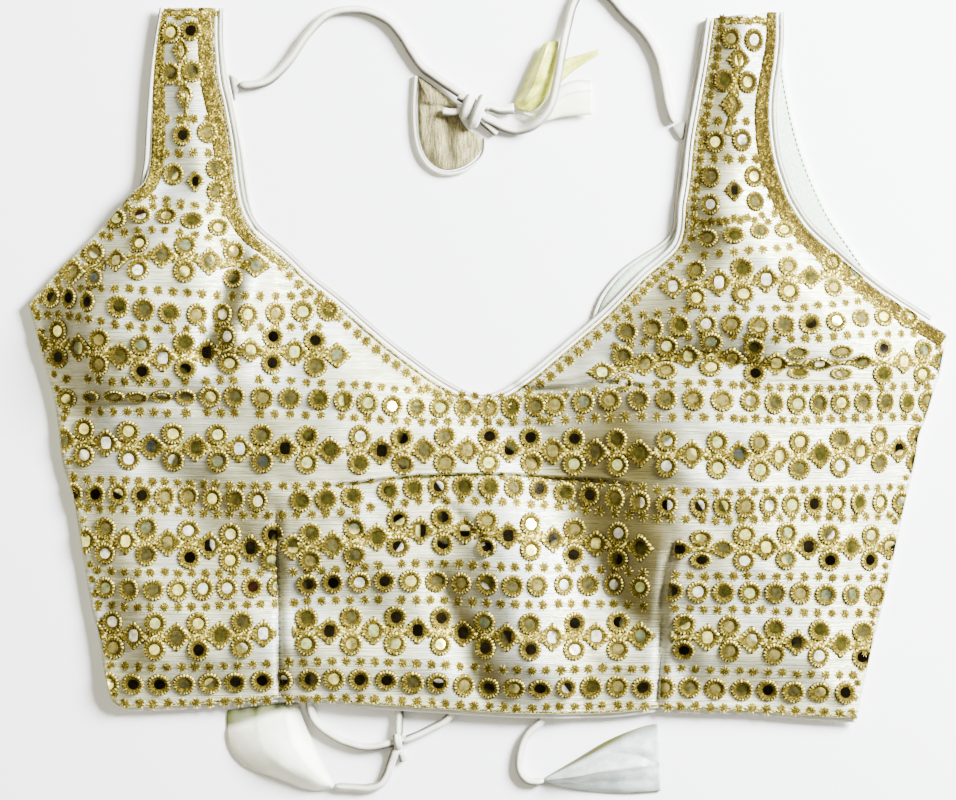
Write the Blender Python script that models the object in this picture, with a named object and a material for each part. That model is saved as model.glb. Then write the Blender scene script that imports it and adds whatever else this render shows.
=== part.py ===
"""Choli blouse laid flat, face up.

Sleeveless front of mirror-work silk on two low cups, lined back halves that lie
under it and leave a deep open back, cream piping, a neck tie and two hem ties
with latkans.  Every size in the tables is in millimetres, with X across the garment,
Y towards the shoulders and Z up from the surface it lies on.  MM turns it to metres.
"""
import math

import bmesh
import bpy
import numpy as np

MM = 0.001
OBJECT_NAME = "choli_blouse"

# Cloth and trim, from the surface up
SEAM_GAP = 0.3
SILK = 1.0
LINING = 1.0
FRONT_WALL = 1.6
FACING_WALL = 1.0
PIPING_RADIUS = 1.2
BACK_PIPING_RADIUS = 1.1
CORD_RADIUS = 2.3
TIE_RADIUS = 2.1
LINING_TOP = SILK + SEAM_GAP + LINING
RESTING = 0.1

# Front: heights of the cloth's face
EDGE_FACE = LINING_TOP + SEAM_GAP + FRONT_WALL + 0.15
INNER_LIFT = 6.0
INNER_LIFT_RUN = 22.0
CUP_RUN = 24.0
FOLD_RUN = 16.0
FACING_GAP = 0.4
HEM_LIFT = FACING_WALL + FACING_GAP + 0.15
HEM_LIFT_TO, HEM_LIFT_FADE = -156.0, 26.0
TIE_LIFT = 2.3
TIE_LIFT_FROM, TIE_LIFT_TO, TIE_LIFT_FADE = -104.0, 50.0, 16.0

# Grid of the front's wall
GRID_COLUMNS = 20
GRID_STEP = 9.5
BODY_ROWS = 17
CURVE_STEPS = 8

CENTRE_X, NECK_Y = -4.0, -18.0

# Outline of the front, each piece a smooth run of (x, y)
SIDE_LEFT = [(-182, -171.5), (-189, -165.5), (-194.5, -138), (-199.5, -115.5), (-207, -69.5),
             (-213, -48), (-216.5, -20.5), (-223, 4), (-230, 30.5)]
FOLDED_EDGE_LEFT = [(-230, 30.5), (-215.5, 46.5), (-203, 59), (-189, 73), (-178, 86)]
STRAP_OUTER_LEFT = [(-178, 86), (-171.5, 91.5), (-169, 103), (-168.3, 125), (-167.7, 147.5),
                    (-166.3, 164), (-164, 178.5)]
NECKLINE = [(-135.5, 178.5), (-135.6, 162.5), (-134, 143.5), (-131, 130), (-127.5, 111),
            (-125, 90.5), (-122.3, 78), (-116, 67), (-102.5, 55.5), (-89, 42.5), (-74.5, 31),
            (-61.5, 19.5), (-49, 9), (-36.5, -0.5), (-26, -8), (-14.5, -14.5), (-4, -18),
            (9, -14.5), (22.5, -5.5), (34, 4), (47, 15), (59, 25.5), (69.5, 36), (78.5, 45),
            (87, 52), (94, 59), (97, 67.5), (98, 80), (100, 92.5), (102, 112.5), (105.5, 132.5),
            (109, 152.5), (112, 173.5)]
SIDE_RIGHT = [(184.5, -177), (187, -163.5), (192.5, -140), (199, -114.5), (203, -97),
              (209, -68.5), (214, -48), (216, -35), (219.5, -26), (222.5, -15.5), (226.5, -3),
              (230, 15.5)]
ARMHOLE_RIGHT = [(230, 15.5), (212, 27), (200.5, 34.5), (185, 46.5), (173, 57), (160.5, 68.5),
                 (152.5, 80), (148, 90), (143.5, 105), (141.5, 122.5), (142, 137.5),
                 (144, 151.5), (145, 162.5), (145, 176.5)]
HEM = [(-182, -171.5), (-152.5, -170.5), (-122, -168), (-103.5, -166.5), (-81, -167.5),
       (-63.5, -169.5), (-33, -171.5), (-2, -173.5), (20.5, -174.5), (56.5, -174.5),
       (74, -173), (86, -171.5), (101, -172.5), (127.5, -173), (158, -175.5), (184.5, -177)]

# Levels that tie the inner edge of each half to its outer edge: (y inside, y outside)
LEVELS_LEFT = [(NECK_Y, NECK_Y), (-14.5, -14.5), (-8, -8), (30.5, 30.5), (67, 73), (84, 86),
               (120, 120), (178.5, 178.5)]
LEVELS_RIGHT = [(NECK_Y, NECK_Y), (-14.5, -14.5), (-5.5, -5.5), (15.5, 15.5), (59, 60),
                (70, 74), (90, 90), (132.5, 135), (173.5, 176.5)]

# Raised places: x, y, half length, half width, turn in degrees, height, softness of the rim
MOUNDS = [
    ("cup_left", -164, 26, 47, 41, 20, 19.0, 0.34),
    ("cup_right", 150, 37, 61, 36, -20, 19.0, 0.34),
    ("midriff_centre", -42, -62, 80, 46, 0, 5.5, 0.55),
    ("midriff_right", 158, -70, 58, 74, 0, 9.0, 0.32),
    ("waist_left", -140, -128, 46, 26, 8, 4.0, 0.60),
    ("ridge_centre", 18, -116, 17, 50, 14, 6.5, 0.70),
]
# Soft folds: x0, y0, x1, y1, half width, height (a trough is below zero)
FOLDS = [
    ("neck_ridge_left", -112, 66, -123, 12, 8, 7.0),
    ("cup_trough_left", -126, 50, -142, 6, 7, -5.0),
    ("side_dart_left", -212, -21, -146, -15, 6, -4.0),
    ("waist_valley_left", -169, -48, -99, -115, 11, -5.0),
    ("basin", 26, -52, 76, -104, 18, -4.0),
    ("centre_valley", -30, -98, -4, -166, 8, -5.0),
    ("waist_valley_right", 60, -112, 108, -164, 8, -4.5),
    ("under_cup_right", 62, -2, 128, 4, 7, -3.5),
]

# Lined back halves, hidden but for the right armhole and the neck edges: outlines (x, y)
BACK_LEFT = {
    "side": [(-178, -165.5), (-185, -163), (-193.5, -138), (-198.5, -115.5), (-206, -69.5),
             (-212, -48), (-215.5, -20.5), (-222, 4), (-228.5, 29)],
    "armhole": [(-228.5, 29), (-214.5, 44), (-202, 56.5), (-188, 70.5), (-176.5, 84.5),
                (-169.5, 91), (-167.6, 103), (-167, 125), (-166.3, 147.5), (-163, 177.5)],
    "neck": [(-134.8, 177.5), (-134.6, 162.5), (-132.4, 144.5), (-129.9, 132.5), (-127, 117.5),
             (-125, 107.5), (-123.3, 95), (-121.4, 82.5), (-118.8, 72.5), (-114, 57.5),
             (-112, 32.5), (-109.5, 2.5), (-104.5, -32.5), (-99.5, -72.5), (-94.5, -100),
             (-92, -117.5)],
    "centre": [(-92, -117.5), (-92, -164.5)],
}
BACK_RIGHT = {
    "side": [(181, -169.5), (186, -163.5), (191.5, -140), (198, -114.5), (202, -97),
             (208, -68.5), (213, -48), (215, -35), (218.5, -26), (221.5, -15.5),
             (225.5, -3), (228.5, 14.5)],
    "armhole": [(228.5, 14.5), (211, 25.5), (199, 37), (189, 49.5), (181, 61), (173.5, 71.5),
                (167.5, 82.5), (161, 97.5), (156, 112.5), (152, 128.5), (149, 145),
                (147.3, 162.5), (146.3, 175.5)],
    "neck": [(111, 172.5), (106.8, 152.5), (103.2, 132.5), (100.2, 112.5), (97.4, 95),
             (95.8, 80), (94.6, 68), (90.5, 61.5), (84, 56.6), (76.5, 52), (69, 46.5),
             (62.5, 39.5), (57.5, 32), (53.5, 20), (50.5, 0), (48, -38), (45, -72),
             (39, -100), (36, -117.5)],
    "centre": [(36, -117.5), (36, -164.5)],
}

# Where the strap's piping turns in under the folded edge and lifts it: a fold row
PIPING_PASS = (-173.5, 88.5, -178.5, 77, 9.5, 4.2)

FACING_DROP = 2.0

# Piping: how far its axis keeps off an edge, and how the strap's piping turns in
PIPING_CLEAR = PIPING_RADIUS + SEAM_GAP + 0.4
PIPING_SPACING, BACK_PIPING_SPACING = 7.0, 10.0
ARMHOLE_SKIP = 4
STRAP_KEPT = -14
TURN_IN = [(-173.6, 88.2), (-178.4, 75.0)]
HIDDEN_INSET = -11.0
HIDDEN_FROM, HIDDEN_TO = 10, -8

# Cord routes (x, y, z)
CORD_SPACING = 2.88
DORI_LEFT = [(-124.2, 140.4, 2.4), (-118.5, 140.2, 2.4), (-109.5, 142.8, 2.4), (-100, 152, 2.4),
             (-91, 165, 2.4), (-81, 175, 2.4), (-70.5, 178, 2.4), (-59.5, 177, 2.4),
             (-49.5, 172, 2.4), (-43, 164.5, 2.4), (-38, 156.5, 2.4), (-32.5, 149, 2.4),
             (-23, 142, 2.9), (-13.9, 135.7, 4.4)]
DORI_RIGHT = [(1.6, 122.2, 3.9), (8.5, 119, 2.8), (15.5, 117.6, 2.6), (24, 120.5, 6.8),
              (31, 129, 8.9), (34.5, 142.5, 8.8), (37, 156.5, 7.6), (39.5, 168.5, 3.4),
              (42.5, 180, 2.4), (47, 187.5, 2.4), (54, 189.5, 2.4), (61, 184.5, 2.4),
              (68.5, 176, 2.4), (78.5, 166, 2.4), (85, 154.5, 2.4), (88, 142.5, 2.4),
              (90, 131.5, 2.4), (91.6, 125.8, 2.4), (93.6, 121.2, 2.4)]
LATKAN_TAIL = [(1.4, 129.2, 5.4), (6.5, 127.9, 4.2), (12.8, 128.3, 3.4)]
TIE_LEFT = [(-89.4, -148, 2.2), (-89.4, -160, 2.2), (-89, -172, 2.2), (-85.5, -179.5, 2.2),
            (-76, -186.6, 2.2), (-65, -190.6, 2.2), (-57, -191, 2.4), (-50.6, -189.6, 3.0)]
TIE_LEFT_END = [(-46.8, -194.4, 2.9), (-48.6, -199.5, 2.2), (-50.6, -205.5, 2.2),
                (-54.2, -210.2, 2.2), (-60.5, -211.8, 2.2), (-67, -211.6, 2.2),
                (-76.8, -211.1, 2.2)]
BOW_EAR = [(-44.6, -182.8, 3.2), (-44.5, -177, 2.2), (-44.3, -169, 2.2), (-41.5, -162, 2.2),
           (-34.5, -158.5, 2.2), (-25.5, -159.5, 2.2), (-18.5, -165, 2.2), (-17, -172, 2.2),
           (-21.5, -178.3, 2.2), (-28.5, -182, 2.2), (-34.5, -184.9, 2.4), (-39.8, -187, 3.0)]
TIE_RIGHT = [(33.4, -148, 2.2), (33.4, -160, 2.2), (31.5, -171, 2.2), (26, -179, 2.2),
             (19.5, -185.5, 2.2), (16.2, -194, 2.2), (15.8, -202, 2.2), (19.2, -207.5, 2.2),
             (24, -208.6, 2.2), (27.9, -208.1, 2.2)]

# Knots: x, y, half length, half width, half height, turn, lobes
KNOT_NECK = (-6.6, 129.6, 7.2, 10.0, 5.6, -14, 2)
KNOT_HEM = (-45.2, -188.6, 4.4, 5.2, 3.6, 20, 1)
KNOT_SIDES, KNOT_RINGS, KNOT_WAIST = 14, 6, 0.14

# Latkans: satin leaves, each between two edges that run from its neck to its wide end
LEAF_WALL = 1.2
LEAF_ROWS, LEAF_COLUMNS = 12, 8
LEAVES = [
    {"name": "latkan_petal_under", "floor": 0.1, "crest": 0.5, "pleat": 0.2,
     "left": [(17, 130), (24, 136), (31, 146), (37, 152.5), (46, 155.5), (56, 158.5)],
     "right": [(18, 128.5), (26, 132), (34, 139), (40, 145), (48, 151), (55.5, 155.5)]},
    {"name": "latkan_petal_upper", "floor": 2.5, "crest": 2.4, "pleat": 0.8,
     "left": [(13, 131), (15.5, 135), (21, 147.5), (26.5, 159), (28.5, 161.5)],
     "right": [(15, 127.6), (22.5, 127.2), (29, 133.5), (32, 141.5), (34.5, 152.5), (35.5, 162)]},
    {"name": "latkan_petal_side", "floor": 2.5, "crest": 1.4, "pleat": 0.6,
     "left": [(17.8, 126.6), (23.6, 126.2), (29.6, 130.4), (35.2, 138.6), (43, 142.5), (52, 142.5)],
     "right": [(17.4, 125.4), (22, 123.2), (28, 121.8), (36, 123.9), (43, 124.8), (52, 125.3)]},
    {"name": "latkan_hem_left", "floor": 0.1, "crest": 6.0, "pleat": 1.4,
     "left": [(-78, -212.6), (-90, -213), (-104, -208), (-121.5, -201), (-129.5, -191),
              (-131, -178)],
     "right": [(-77.2, -209.6), (-80.5, -203), (-84.5, -195), (-88.5, -187), (-91.5, -180),
               (-94, -173.5)]},
    {"name": "latkan_hem_right", "floor": 0.1, "crest": 5.4, "pleat": 1.4,
     "left": [(28.3, -206.8), (44, -197.5), (60, -188), (76, -181.5), (85, -179.5)],
     "right": [(28.3, -209.2), (40, -212), (52, -213.5), (70, -214.5), (86.5, -213.5)]},
]

TEARDROP = [(-34.2, 144.6), (-15.8, 131.2), (-14.4, 124.5), (-10.2, 118.2), (-3.4, 114.2),
            (-4.6, 106), (-12.5, 99.4), (-22.5, 98), (-30, 103), (-34, 112.5), (-35.2, 127),
            (-34.6, 140)]
TEARDROP_RIM_FROM = 4
TEARDROP_WALL = 2.6
TEARDROP_PIPING = 1.4
STUB_RADIUS = 1.9
STUB = [(-22.6, 126.8, 4.7), (-18.4, 126.2, 5.0), (-14.6, 126.4, 5.2)]
BOW_STUB = [(-43.2, -194.2, 2.8), (-42.2, -198.2, 2.1)]
TABS = [
    ("dori_tab_left", [(-129.3, 146.0), (-124.7, 142.6), (-124.7, 138.4), (-126.2, 136.0),
                       (-126.9, 132.8)]),
    ("dori_tab_right", [(92.0, 119.5), (95.9, 121.4), (98.6, 121.4), (97.3, 113.4),
                        (95.0, 114.6)]),
]
TAB_WALL = 2.0

# Colours: red, green, blue, roughness, metallic
FINISHES = {
    "silk": (0.86, 0.80, 0.62, 0.45, 0.0),
    "lining": (0.90, 0.93, 0.88, 0.70, 0.0),
    "piping": (0.93, 0.90, 0.78, 0.55, 0.0),
    "satin": (0.90, 0.90, 0.66, 0.35, 0.0),
    "weave": (0.72, 0.68, 0.58, 0.85, 0.0),
}


def clear_scene():
    for item in list(bpy.data.objects):
        bpy.data.objects.remove(item, do_unlink=True)


def finish(obj, kind):
    """Give obj its own material of one of the named finishes."""
    red, green, blue, roughness, metallic = FINISHES[kind]
    material = bpy.data.materials.new(obj.name + "_" + kind)
    material.use_nodes = True
    shader = material.node_tree.nodes["Principled BSDF"]
    shader.inputs["Base Color"].default_value = (red, green, blue, 1.0)
    shader.inputs["Roughness"].default_value = roughness
    shader.inputs["Metallic"].default_value = metallic
    obj.data.materials.append(material)
    return obj


def smooth_run(points, steps=CURVE_STEPS):
    """Catmull-Rom curve through the points, with steps pieces to each span."""
    knots = np.array(points, dtype=float)
    padded = np.vstack([2 * knots[0] - knots[1], knots, 2 * knots[-1] - knots[-2]])
    share = np.linspace(0, 1, steps, endpoint=False)[None, :, None]
    before, start, end, after = (padded[k:len(knots) - 1 + k, None, :] for k in range(4))
    curve = 0.5 * (2 * start + (end - before) * share
                   + (2 * before - 5 * start + 4 * end - after) * share ** 2
                   + (3 * start - before - 3 * end + after) * share ** 3)
    return np.vstack([curve.reshape(-1, knots.shape[1]), knots[-1:]])


def joined(*runs):
    """Smooth runs end to end, sharp where they meet."""
    pieces = [smooth_run(run) for run in runs]
    return np.vstack([pieces[0]] + [piece[1:] for piece in pieces[1:]])


def ease(value):
    """Smooth step from 0 to 1."""
    value = np.clip(value, 0.0, 1.0)
    return value * value * (3 - 2 * value)


def distance_to(line, x, y):
    """Distance of every point to an open line of (x, y)."""
    start, end = line[:-1], line[1:]
    along = end - start
    length2 = np.maximum((along ** 2).sum(axis=1), 1e-9)
    best = np.full(x.shape, np.inf)
    for (sx, sy), (dx, dy), size in zip(start, along, length2):
        share = np.clip(((x - sx) * dx + (y - sy) * dy) / size, 0, 1)
        best = np.minimum(best, (x - sx - share * dx) ** 2 + (y - sy - share * dy) ** 2)
    return np.sqrt(best)


OUTER_LEFT = joined(SIDE_LEFT, FOLDED_EDGE_LEFT, STRAP_OUTER_LEFT)
OUTER_RIGHT = joined(SIDE_RIGHT, ARMHOLE_RIGHT)
NECK = smooth_run(NECKLINE)
HEM_LINE = smooth_run(HEM)
SEWN_EDGE = np.vstack([OUTER_LEFT[::-4], HEM_LINE[::4], OUTER_RIGHT[::4]])
NECK_EDGE = NECK[::2]


def mound(x, y, cx, cy, half_length, half_width, turn, height, soft):
    """Flat-topped hill: full inside the oval, easing to nothing over its soft rim."""
    c, s = math.cos(math.radians(turn)), math.sin(math.radians(turn))
    u = ((x - cx) * c + (y - cy) * s) / half_length
    v = ((y - cy) * c - (x - cx) * s) / half_width
    radius = (np.abs(u) ** 2.6 + np.abs(v) ** 2.6) ** (1 / 2.6)
    return height * ease((1 + soft - radius) / (2 * soft))


def fold(x, y, x0, y0, x1, y1, half_width, height):
    """Ridge or trough along a line, bell-shaped across it and fading at its ends."""
    dx, dy = x1 - x0, y1 - y0
    size = math.hypot(dx, dy)
    along = ((x - x0) * dx + (y - y0) * dy) / size
    across = ((y - y0) * dx - (x - x0) * dy) / size
    past = np.maximum(0, np.maximum(-along, along - size))
    return height * np.exp(-(across ** 2 + past ** 2) / half_width ** 2)


def face_height(x, y):
    """Height of the front's face over the surface, in millimetres."""
    x, y = np.asarray(x, dtype=float), np.asarray(y, dtype=float)
    sewn = distance_to(SEWN_EDGE, x, y)
    edge = np.minimum(sewn, distance_to(NECK_EDGE, x, y) + 4.0)
    hem_near = 1 - ease((y - HEM_LIFT_TO) / HEM_LIFT_FADE)
    tie_near = ease((x - TIE_LIFT_FROM) / TIE_LIFT_FADE) * ease((TIE_LIFT_TO - x) / TIE_LIFT_FADE)
    height = EDGE_FACE + hem_near * (HEM_LIFT + TIE_LIFT * tie_near)
    height = height + INNER_LIFT * ease(edge / INNER_LIFT_RUN)
    for _, *shape in MOUNDS:
        height = height + mound(x, y, *shape) * ease(edge / CUP_RUN)
    for _, *shape in FOLDS:
        height = height + fold(x, y, *shape) * ease(edge / FOLD_RUN)
    return height + fold(x, y, *PIPING_PASS)


def wall_drop(x, y, wall):
    """Vertical drop through a wall of even thickness: the wall times the slope's secant."""
    step = 0.5
    slope_x = (face_height(x + step, y) - face_height(x - step, y)) / (2 * step)
    slope_y = (face_height(x, y + step) - face_height(x, y - step)) / (2 * step)
    return wall * np.minimum(np.sqrt(1 + slope_x ** 2 + slope_y ** 2), 2.0)


def x_on(line, y):
    """x of an edge that climbs steadily, at each y."""
    order = np.argsort(line[:, 1], kind="stable")
    return np.interp(y, line[order, 1], line[order, 0])


def half_rows(outer, inner, levels):
    """Rows of one half of the front: (x, y) arrays from the inner to the outer edge."""
    share = np.linspace(0, 1, GRID_COLUMNS + 1)
    corner_x, corner_y = outer[0]
    rows = []
    for climb in np.linspace(0, 1, BODY_ROWS + 1):
        outer_x = x_on(outer, corner_y + (NECK_Y - corner_y) * climb)
        x = CENTRE_X + (outer_x - CENTRE_X) * share
        hem = np.interp(x, HEM_LINE[:, 0], HEM_LINE[:, 1])
        rows.append((x, hem + (NECK_Y - hem) * climb))
    for (inner_y0, outer_y0), (inner_y1, outer_y1) in zip(levels[:-1], levels[1:]):
        count = max(1, round((inner_y1 - inner_y0) / GRID_STEP))
        for climb in np.linspace(0, 1, count + 1)[1:]:
            inner_y = inner_y0 + (inner_y1 - inner_y0) * climb
            outer_y = outer_y0 + (outer_y1 - outer_y0) * climb
            inner_x, outer_x = x_on(inner, inner_y), x_on(outer, outer_y)
            rows.append((inner_x + (outer_x - inner_x) * share,
                         inner_y + (outer_y - inner_y) * share))
    return np.array([row[0] for row in rows]), np.array([row[1] for row in rows])


def grid_faces(rows, columns, flip=False):
    """Quads of a grid of points, row by row."""
    first = np.arange(rows * columns).reshape(rows, columns)
    quads = np.stack([first[:-1, :-1], first[:-1, 1:], first[1:, 1:], first[1:, :-1]], axis=-1)
    quads = quads.reshape(-1, 4)
    return quads[:, ::-1] if flip else quads


def rising_halves(points, quad):
    """Both triangles of a quad, parted along the diagonal that climbs in Y as X grows."""
    first, third = points[quad[0]], points[quad[2]]
    if (third[0] - first[0]) * (third[1] - first[1]) > 0:
        return (quad[0], quad[1], quad[2]), (quad[0], quad[2], quad[3])
    return (quad[1], quad[2], quad[3]), (quad[1], quad[3], quad[0])


def closed_wall(name, top, bottom, quads, collection):
    """Closed wall between a face and the same grid moved down, with rims on its open edges."""
    mesh = bmesh.new()
    upper = [mesh.verts.new(point * MM) for point in top]
    lower = [mesh.verts.new(point * MM) for point in bottom]
    for quad in quads:
        for triangle in rising_halves(top, quad):
            mesh.faces.new([upper[k] for k in triangle])
            mesh.faces.new([lower[k] for k in reversed(triangle)])
    counts = {}
    for quad in quads:
        for k in range(4):
            pair = (int(quad[k]), int(quad[(k + 1) % 4]))
            counts[pair] = counts.get(pair, 0) + 1
    for first, second in counts:
        if (second, first) not in counts:
            mesh.faces.new([upper[second], upper[first], lower[first], lower[second]])
    bmesh.ops.remove_doubles(mesh, verts=mesh.verts, dist=0.00001)
    bmesh.ops.recalc_face_normals(mesh, faces=mesh.faces)
    return add_mesh(name, mesh, collection)


def add_mesh(name, mesh, collection):
    data = bpy.data.meshes.new(name)
    mesh.to_mesh(data)
    mesh.free()
    obj = bpy.data.objects.new(name, data)
    collection.objects.link(obj)
    return obj


def front_halves():
    """Both halves of the front as (x, y, quads turned over), left and right."""
    lowest = int(np.argmin(NECK[:, 1]))
    left = half_rows(OUTER_LEFT, NECK[:lowest + 1], LEVELS_LEFT)
    right = half_rows(OUTER_RIGHT, NECK[lowest:], LEVELS_RIGHT)
    return [(left[0], left[1], True), (right[0], right[1], False)]


def front_panel(collection):
    """The mirror-work front: two halves lofted from the centre and neckline to the side."""
    xs, ys, quads, count = [], [], [], 0
    for x, y, turned in front_halves():
        quads.append(grid_faces(x.shape[0], x.shape[1], turned) + count)
        count += x.size
        xs.append(x.ravel())
        ys.append(y.ravel())
    points = np.round(np.column_stack([np.concatenate(xs), np.concatenate(ys)]), 4)
    unique, index = np.unique(points, axis=0, return_inverse=True)
    quads = index.reshape(-1)[np.vstack(quads)]
    x, y = unique[:, 0], unique[:, 1]
    face = face_height(x, y)
    top = np.column_stack([x, y, face])
    bottom = np.column_stack([x, y, face - wall_drop(x, y, FRONT_WALL)])
    return finish(closed_wall("front_panel", top, bottom, quads, collection), "silk")


def hem_facing(collection):
    """Turned hem of the lining: the front's two lowest rows moved down, and a strip past them."""
    (left_x, left_y, _), (right_x, right_y, _) = front_halves()
    x = np.hstack([left_x[:2, ::-1], right_x[:2, 1:]])
    y = np.hstack([left_y[:2, ::-1], right_y[:2, 1:]])
    top = face_height(x, y) - wall_drop(x, y, FRONT_WALL) - FACING_GAP
    x, y = np.vstack([x[:1], x]), np.vstack([y[:1] - FACING_DROP, y])
    top = np.vstack([top[:1], top])
    face = np.column_stack([x.ravel(), y.ravel(), top.ravel()])
    under = face - np.array([0, 0, FACING_WALL])
    quads = grid_faces(*x.shape)
    return finish(closed_wall("hem_facing", face, under, quads, collection), "piping")


def flat_outline(name, points, low, high, collection):
    """Flat piece of cloth: a filled 2D curve with the thickness as its extrude."""
    curve = bpy.data.curves.new(name, "CURVE")
    curve.dimensions = "2D"
    curve.fill_mode = "BOTH"
    curve.extrude = (high - low) / 2 * MM
    spline = curve.splines.new("POLY")
    spline.points.add(len(points) - 1)
    for slot, (x, y) in zip(spline.points, points):
        slot.co = (x * MM, y * MM, 0, 1)
    spline.use_cyclic_u = True
    obj = bpy.data.objects.new(name, curve)
    obj.location.z = (low + high) / 2 * MM
    collection.objects.link(obj)
    return obj


def back_outline(half):
    runs = [np.array(half["side"], dtype=float), smooth_run(half["armhole"], 2),
            smooth_run(half["neck"], 2), np.array(half["centre"], dtype=float)]
    return np.vstack([runs[0], runs[1][1:], runs[2], runs[3][1:]])


def back_halves(collection):
    """Silk and lining of each back half, flat on the surface under the front."""
    for side, half in (("left", BACK_LEFT), ("right", BACK_RIGHT)):
        outline = back_outline(half)
        silk = flat_outline("back_panel_" + side, outline, 0.0, SILK, collection)
        finish(silk, "silk")
        lining = flat_outline("back_lining_" + side, outline, SILK + SEAM_GAP, LINING_TOP, collection)
        finish(lining, "lining")


def offset_line(line, distance):
    """Line moved sideways, to the left of its direction where the distance is above zero."""
    along = np.gradient(line, axis=0)
    along /= np.linalg.norm(along, axis=1)[:, None]
    return line + distance * np.column_stack([-along[:, 1], along[:, 0]])


def even_stops(line, count):
    """count + 1 points at even steps along a line."""
    run = np.concatenate([[0], np.cumsum(np.linalg.norm(np.diff(line, axis=0), axis=1))])
    stops = np.linspace(0, run[-1], count + 1)
    return np.column_stack([np.interp(stops, run, line[:, k]) for k in range(line.shape[1])])


def thinned(line, spacing):
    """Points about one spacing apart along a line, with both its ends."""
    length = np.linalg.norm(np.diff(line, axis=0), axis=1).sum()
    return even_stops(line, max(2, int(round(length / spacing))))


def tube(name, points, radius, kind, collection, resolution=2):
    """Closed tube along a poly line."""
    curve = bpy.data.curves.new(name, "CURVE")
    curve.dimensions = "3D"
    curve.bevel_depth = radius * MM
    curve.bevel_resolution = resolution
    curve.use_fill_caps = True
    spline = curve.splines.new("POLY")
    spline.points.add(len(points) - 1)
    for slot, (x, y, z) in zip(spline.points, points):
        slot.co = (x * MM, y * MM, z * MM, 1)
    obj = bpy.data.objects.new(name, curve)
    collection.objects.link(obj)
    return finish(obj, kind)


def pipings(collection):
    """Piping along the neck, both armholes and the back neck edges."""
    height = face_height(NECK[:, 0], NECK[:, 1]) - FRONT_WALL / 2
    neck = thinned(np.column_stack([offset_line(NECK, PIPING_CLEAR), height]), PIPING_SPACING - 0.5)
    tube("piping_neck", neck, PIPING_RADIUS, "piping", collection, 1)

    right = offset_line(smooth_run(ARMHOLE_RIGHT), -PIPING_CLEAR)[ARMHOLE_SKIP:]
    strap = offset_line(smooth_run(STRAP_OUTER_LEFT), PIPING_CLEAR)[::-1]
    hidden = offset_line(smooth_run(FOLDED_EDGE_LEFT), HIDDEN_INSET)[::-1]
    inward = smooth_run([strap[STRAP_KEPT]] + TURN_IN + [hidden[HIDDEN_FROM]])
    left = np.vstack([strap[:STRAP_KEPT], inward[:-1], hidden[HIDDEN_FROM:HIDDEN_TO]])
    for side, line in (("left", left), ("right", right)):
        line = thinned(line, PIPING_SPACING)
        level = np.full(len(line), LINING_TOP + SEAM_GAP + PIPING_RADIUS + 0.05)
        tube("piping_armhole_" + side, np.column_stack([line, level]), PIPING_RADIUS,
             "piping", collection)

    for side, half, turn in (("left", BACK_LEFT, 1), ("right", BACK_RIGHT, -1)):
        line = offset_line(smooth_run(half["neck"]), turn * (BACK_PIPING_RADIUS + SEAM_GAP))
        line = thinned(line, BACK_PIPING_SPACING)
        level = np.full(len(line), BACK_PIPING_RADIUS + RESTING)
        tube("piping_back_neck_" + side, np.column_stack([line, level]),
             BACK_PIPING_RADIUS, "piping", collection, 1)


def cord(name, route, radius, collection):
    tube(name, thinned(smooth_run(route), CORD_SPACING * radius), radius, "piping", collection)


def knot(name, place, collection):
    """Lobed knot lying on the surface: rings of an oval section along a short axis.

    Each ring's size is the fourth-power oval's, less KNOT_WAIST where two turns meet.
    """
    cx, cy, half_length, half_width, half_height, turn, lobes = place
    along = np.linspace(0, 1, KNOT_RINGS * lobes + 4)[1:-1]
    swell = np.sqrt(np.clip(1 - (2 * along - 1) ** 4, 0, 1))
    swell = swell * (1 - KNOT_WAIST * (1 + np.cos(2 * math.pi * lobes * along)) / 2)
    angle = np.linspace(0, 2 * math.pi, KNOT_SIDES, endpoint=False)
    axis = (2 * along - 1)[:, None] * half_length
    side = swell[:, None] * half_width * np.cos(angle)[None, :]
    rise = swell[:, None] * half_height * np.sin(angle)[None, :]
    c, s = math.cos(math.radians(turn)), math.sin(math.radians(turn))
    x = cx + axis * c - side * s
    y = cy + axis * s + side * c
    z = half_height + RESTING + rise
    mesh = bmesh.new()
    rings = np.stack([x, y, z], axis=-1) * MM
    grid = [[mesh.verts.new(point) for point in ring] for ring in rings]
    ends = [mesh.verts.new(((cx + way * half_length * c) * MM, (cy + way * half_length * s) * MM,
                            (half_height + RESTING) * MM)) for way in (-1, 1)]
    for j in range(KNOT_SIDES):
        after = (j + 1) % KNOT_SIDES
        mesh.faces.new([ends[0], grid[0][j], grid[0][after]])
        mesh.faces.new([ends[1], grid[-1][after], grid[-1][j]])
        for lower, upper in zip(grid[:-1], grid[1:]):
            mesh.faces.new([lower[j], upper[j], upper[after], lower[after]])
    bmesh.ops.recalc_face_normals(mesh, faces=mesh.faces)
    return finish(add_mesh(name, mesh, collection), "piping")


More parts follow.
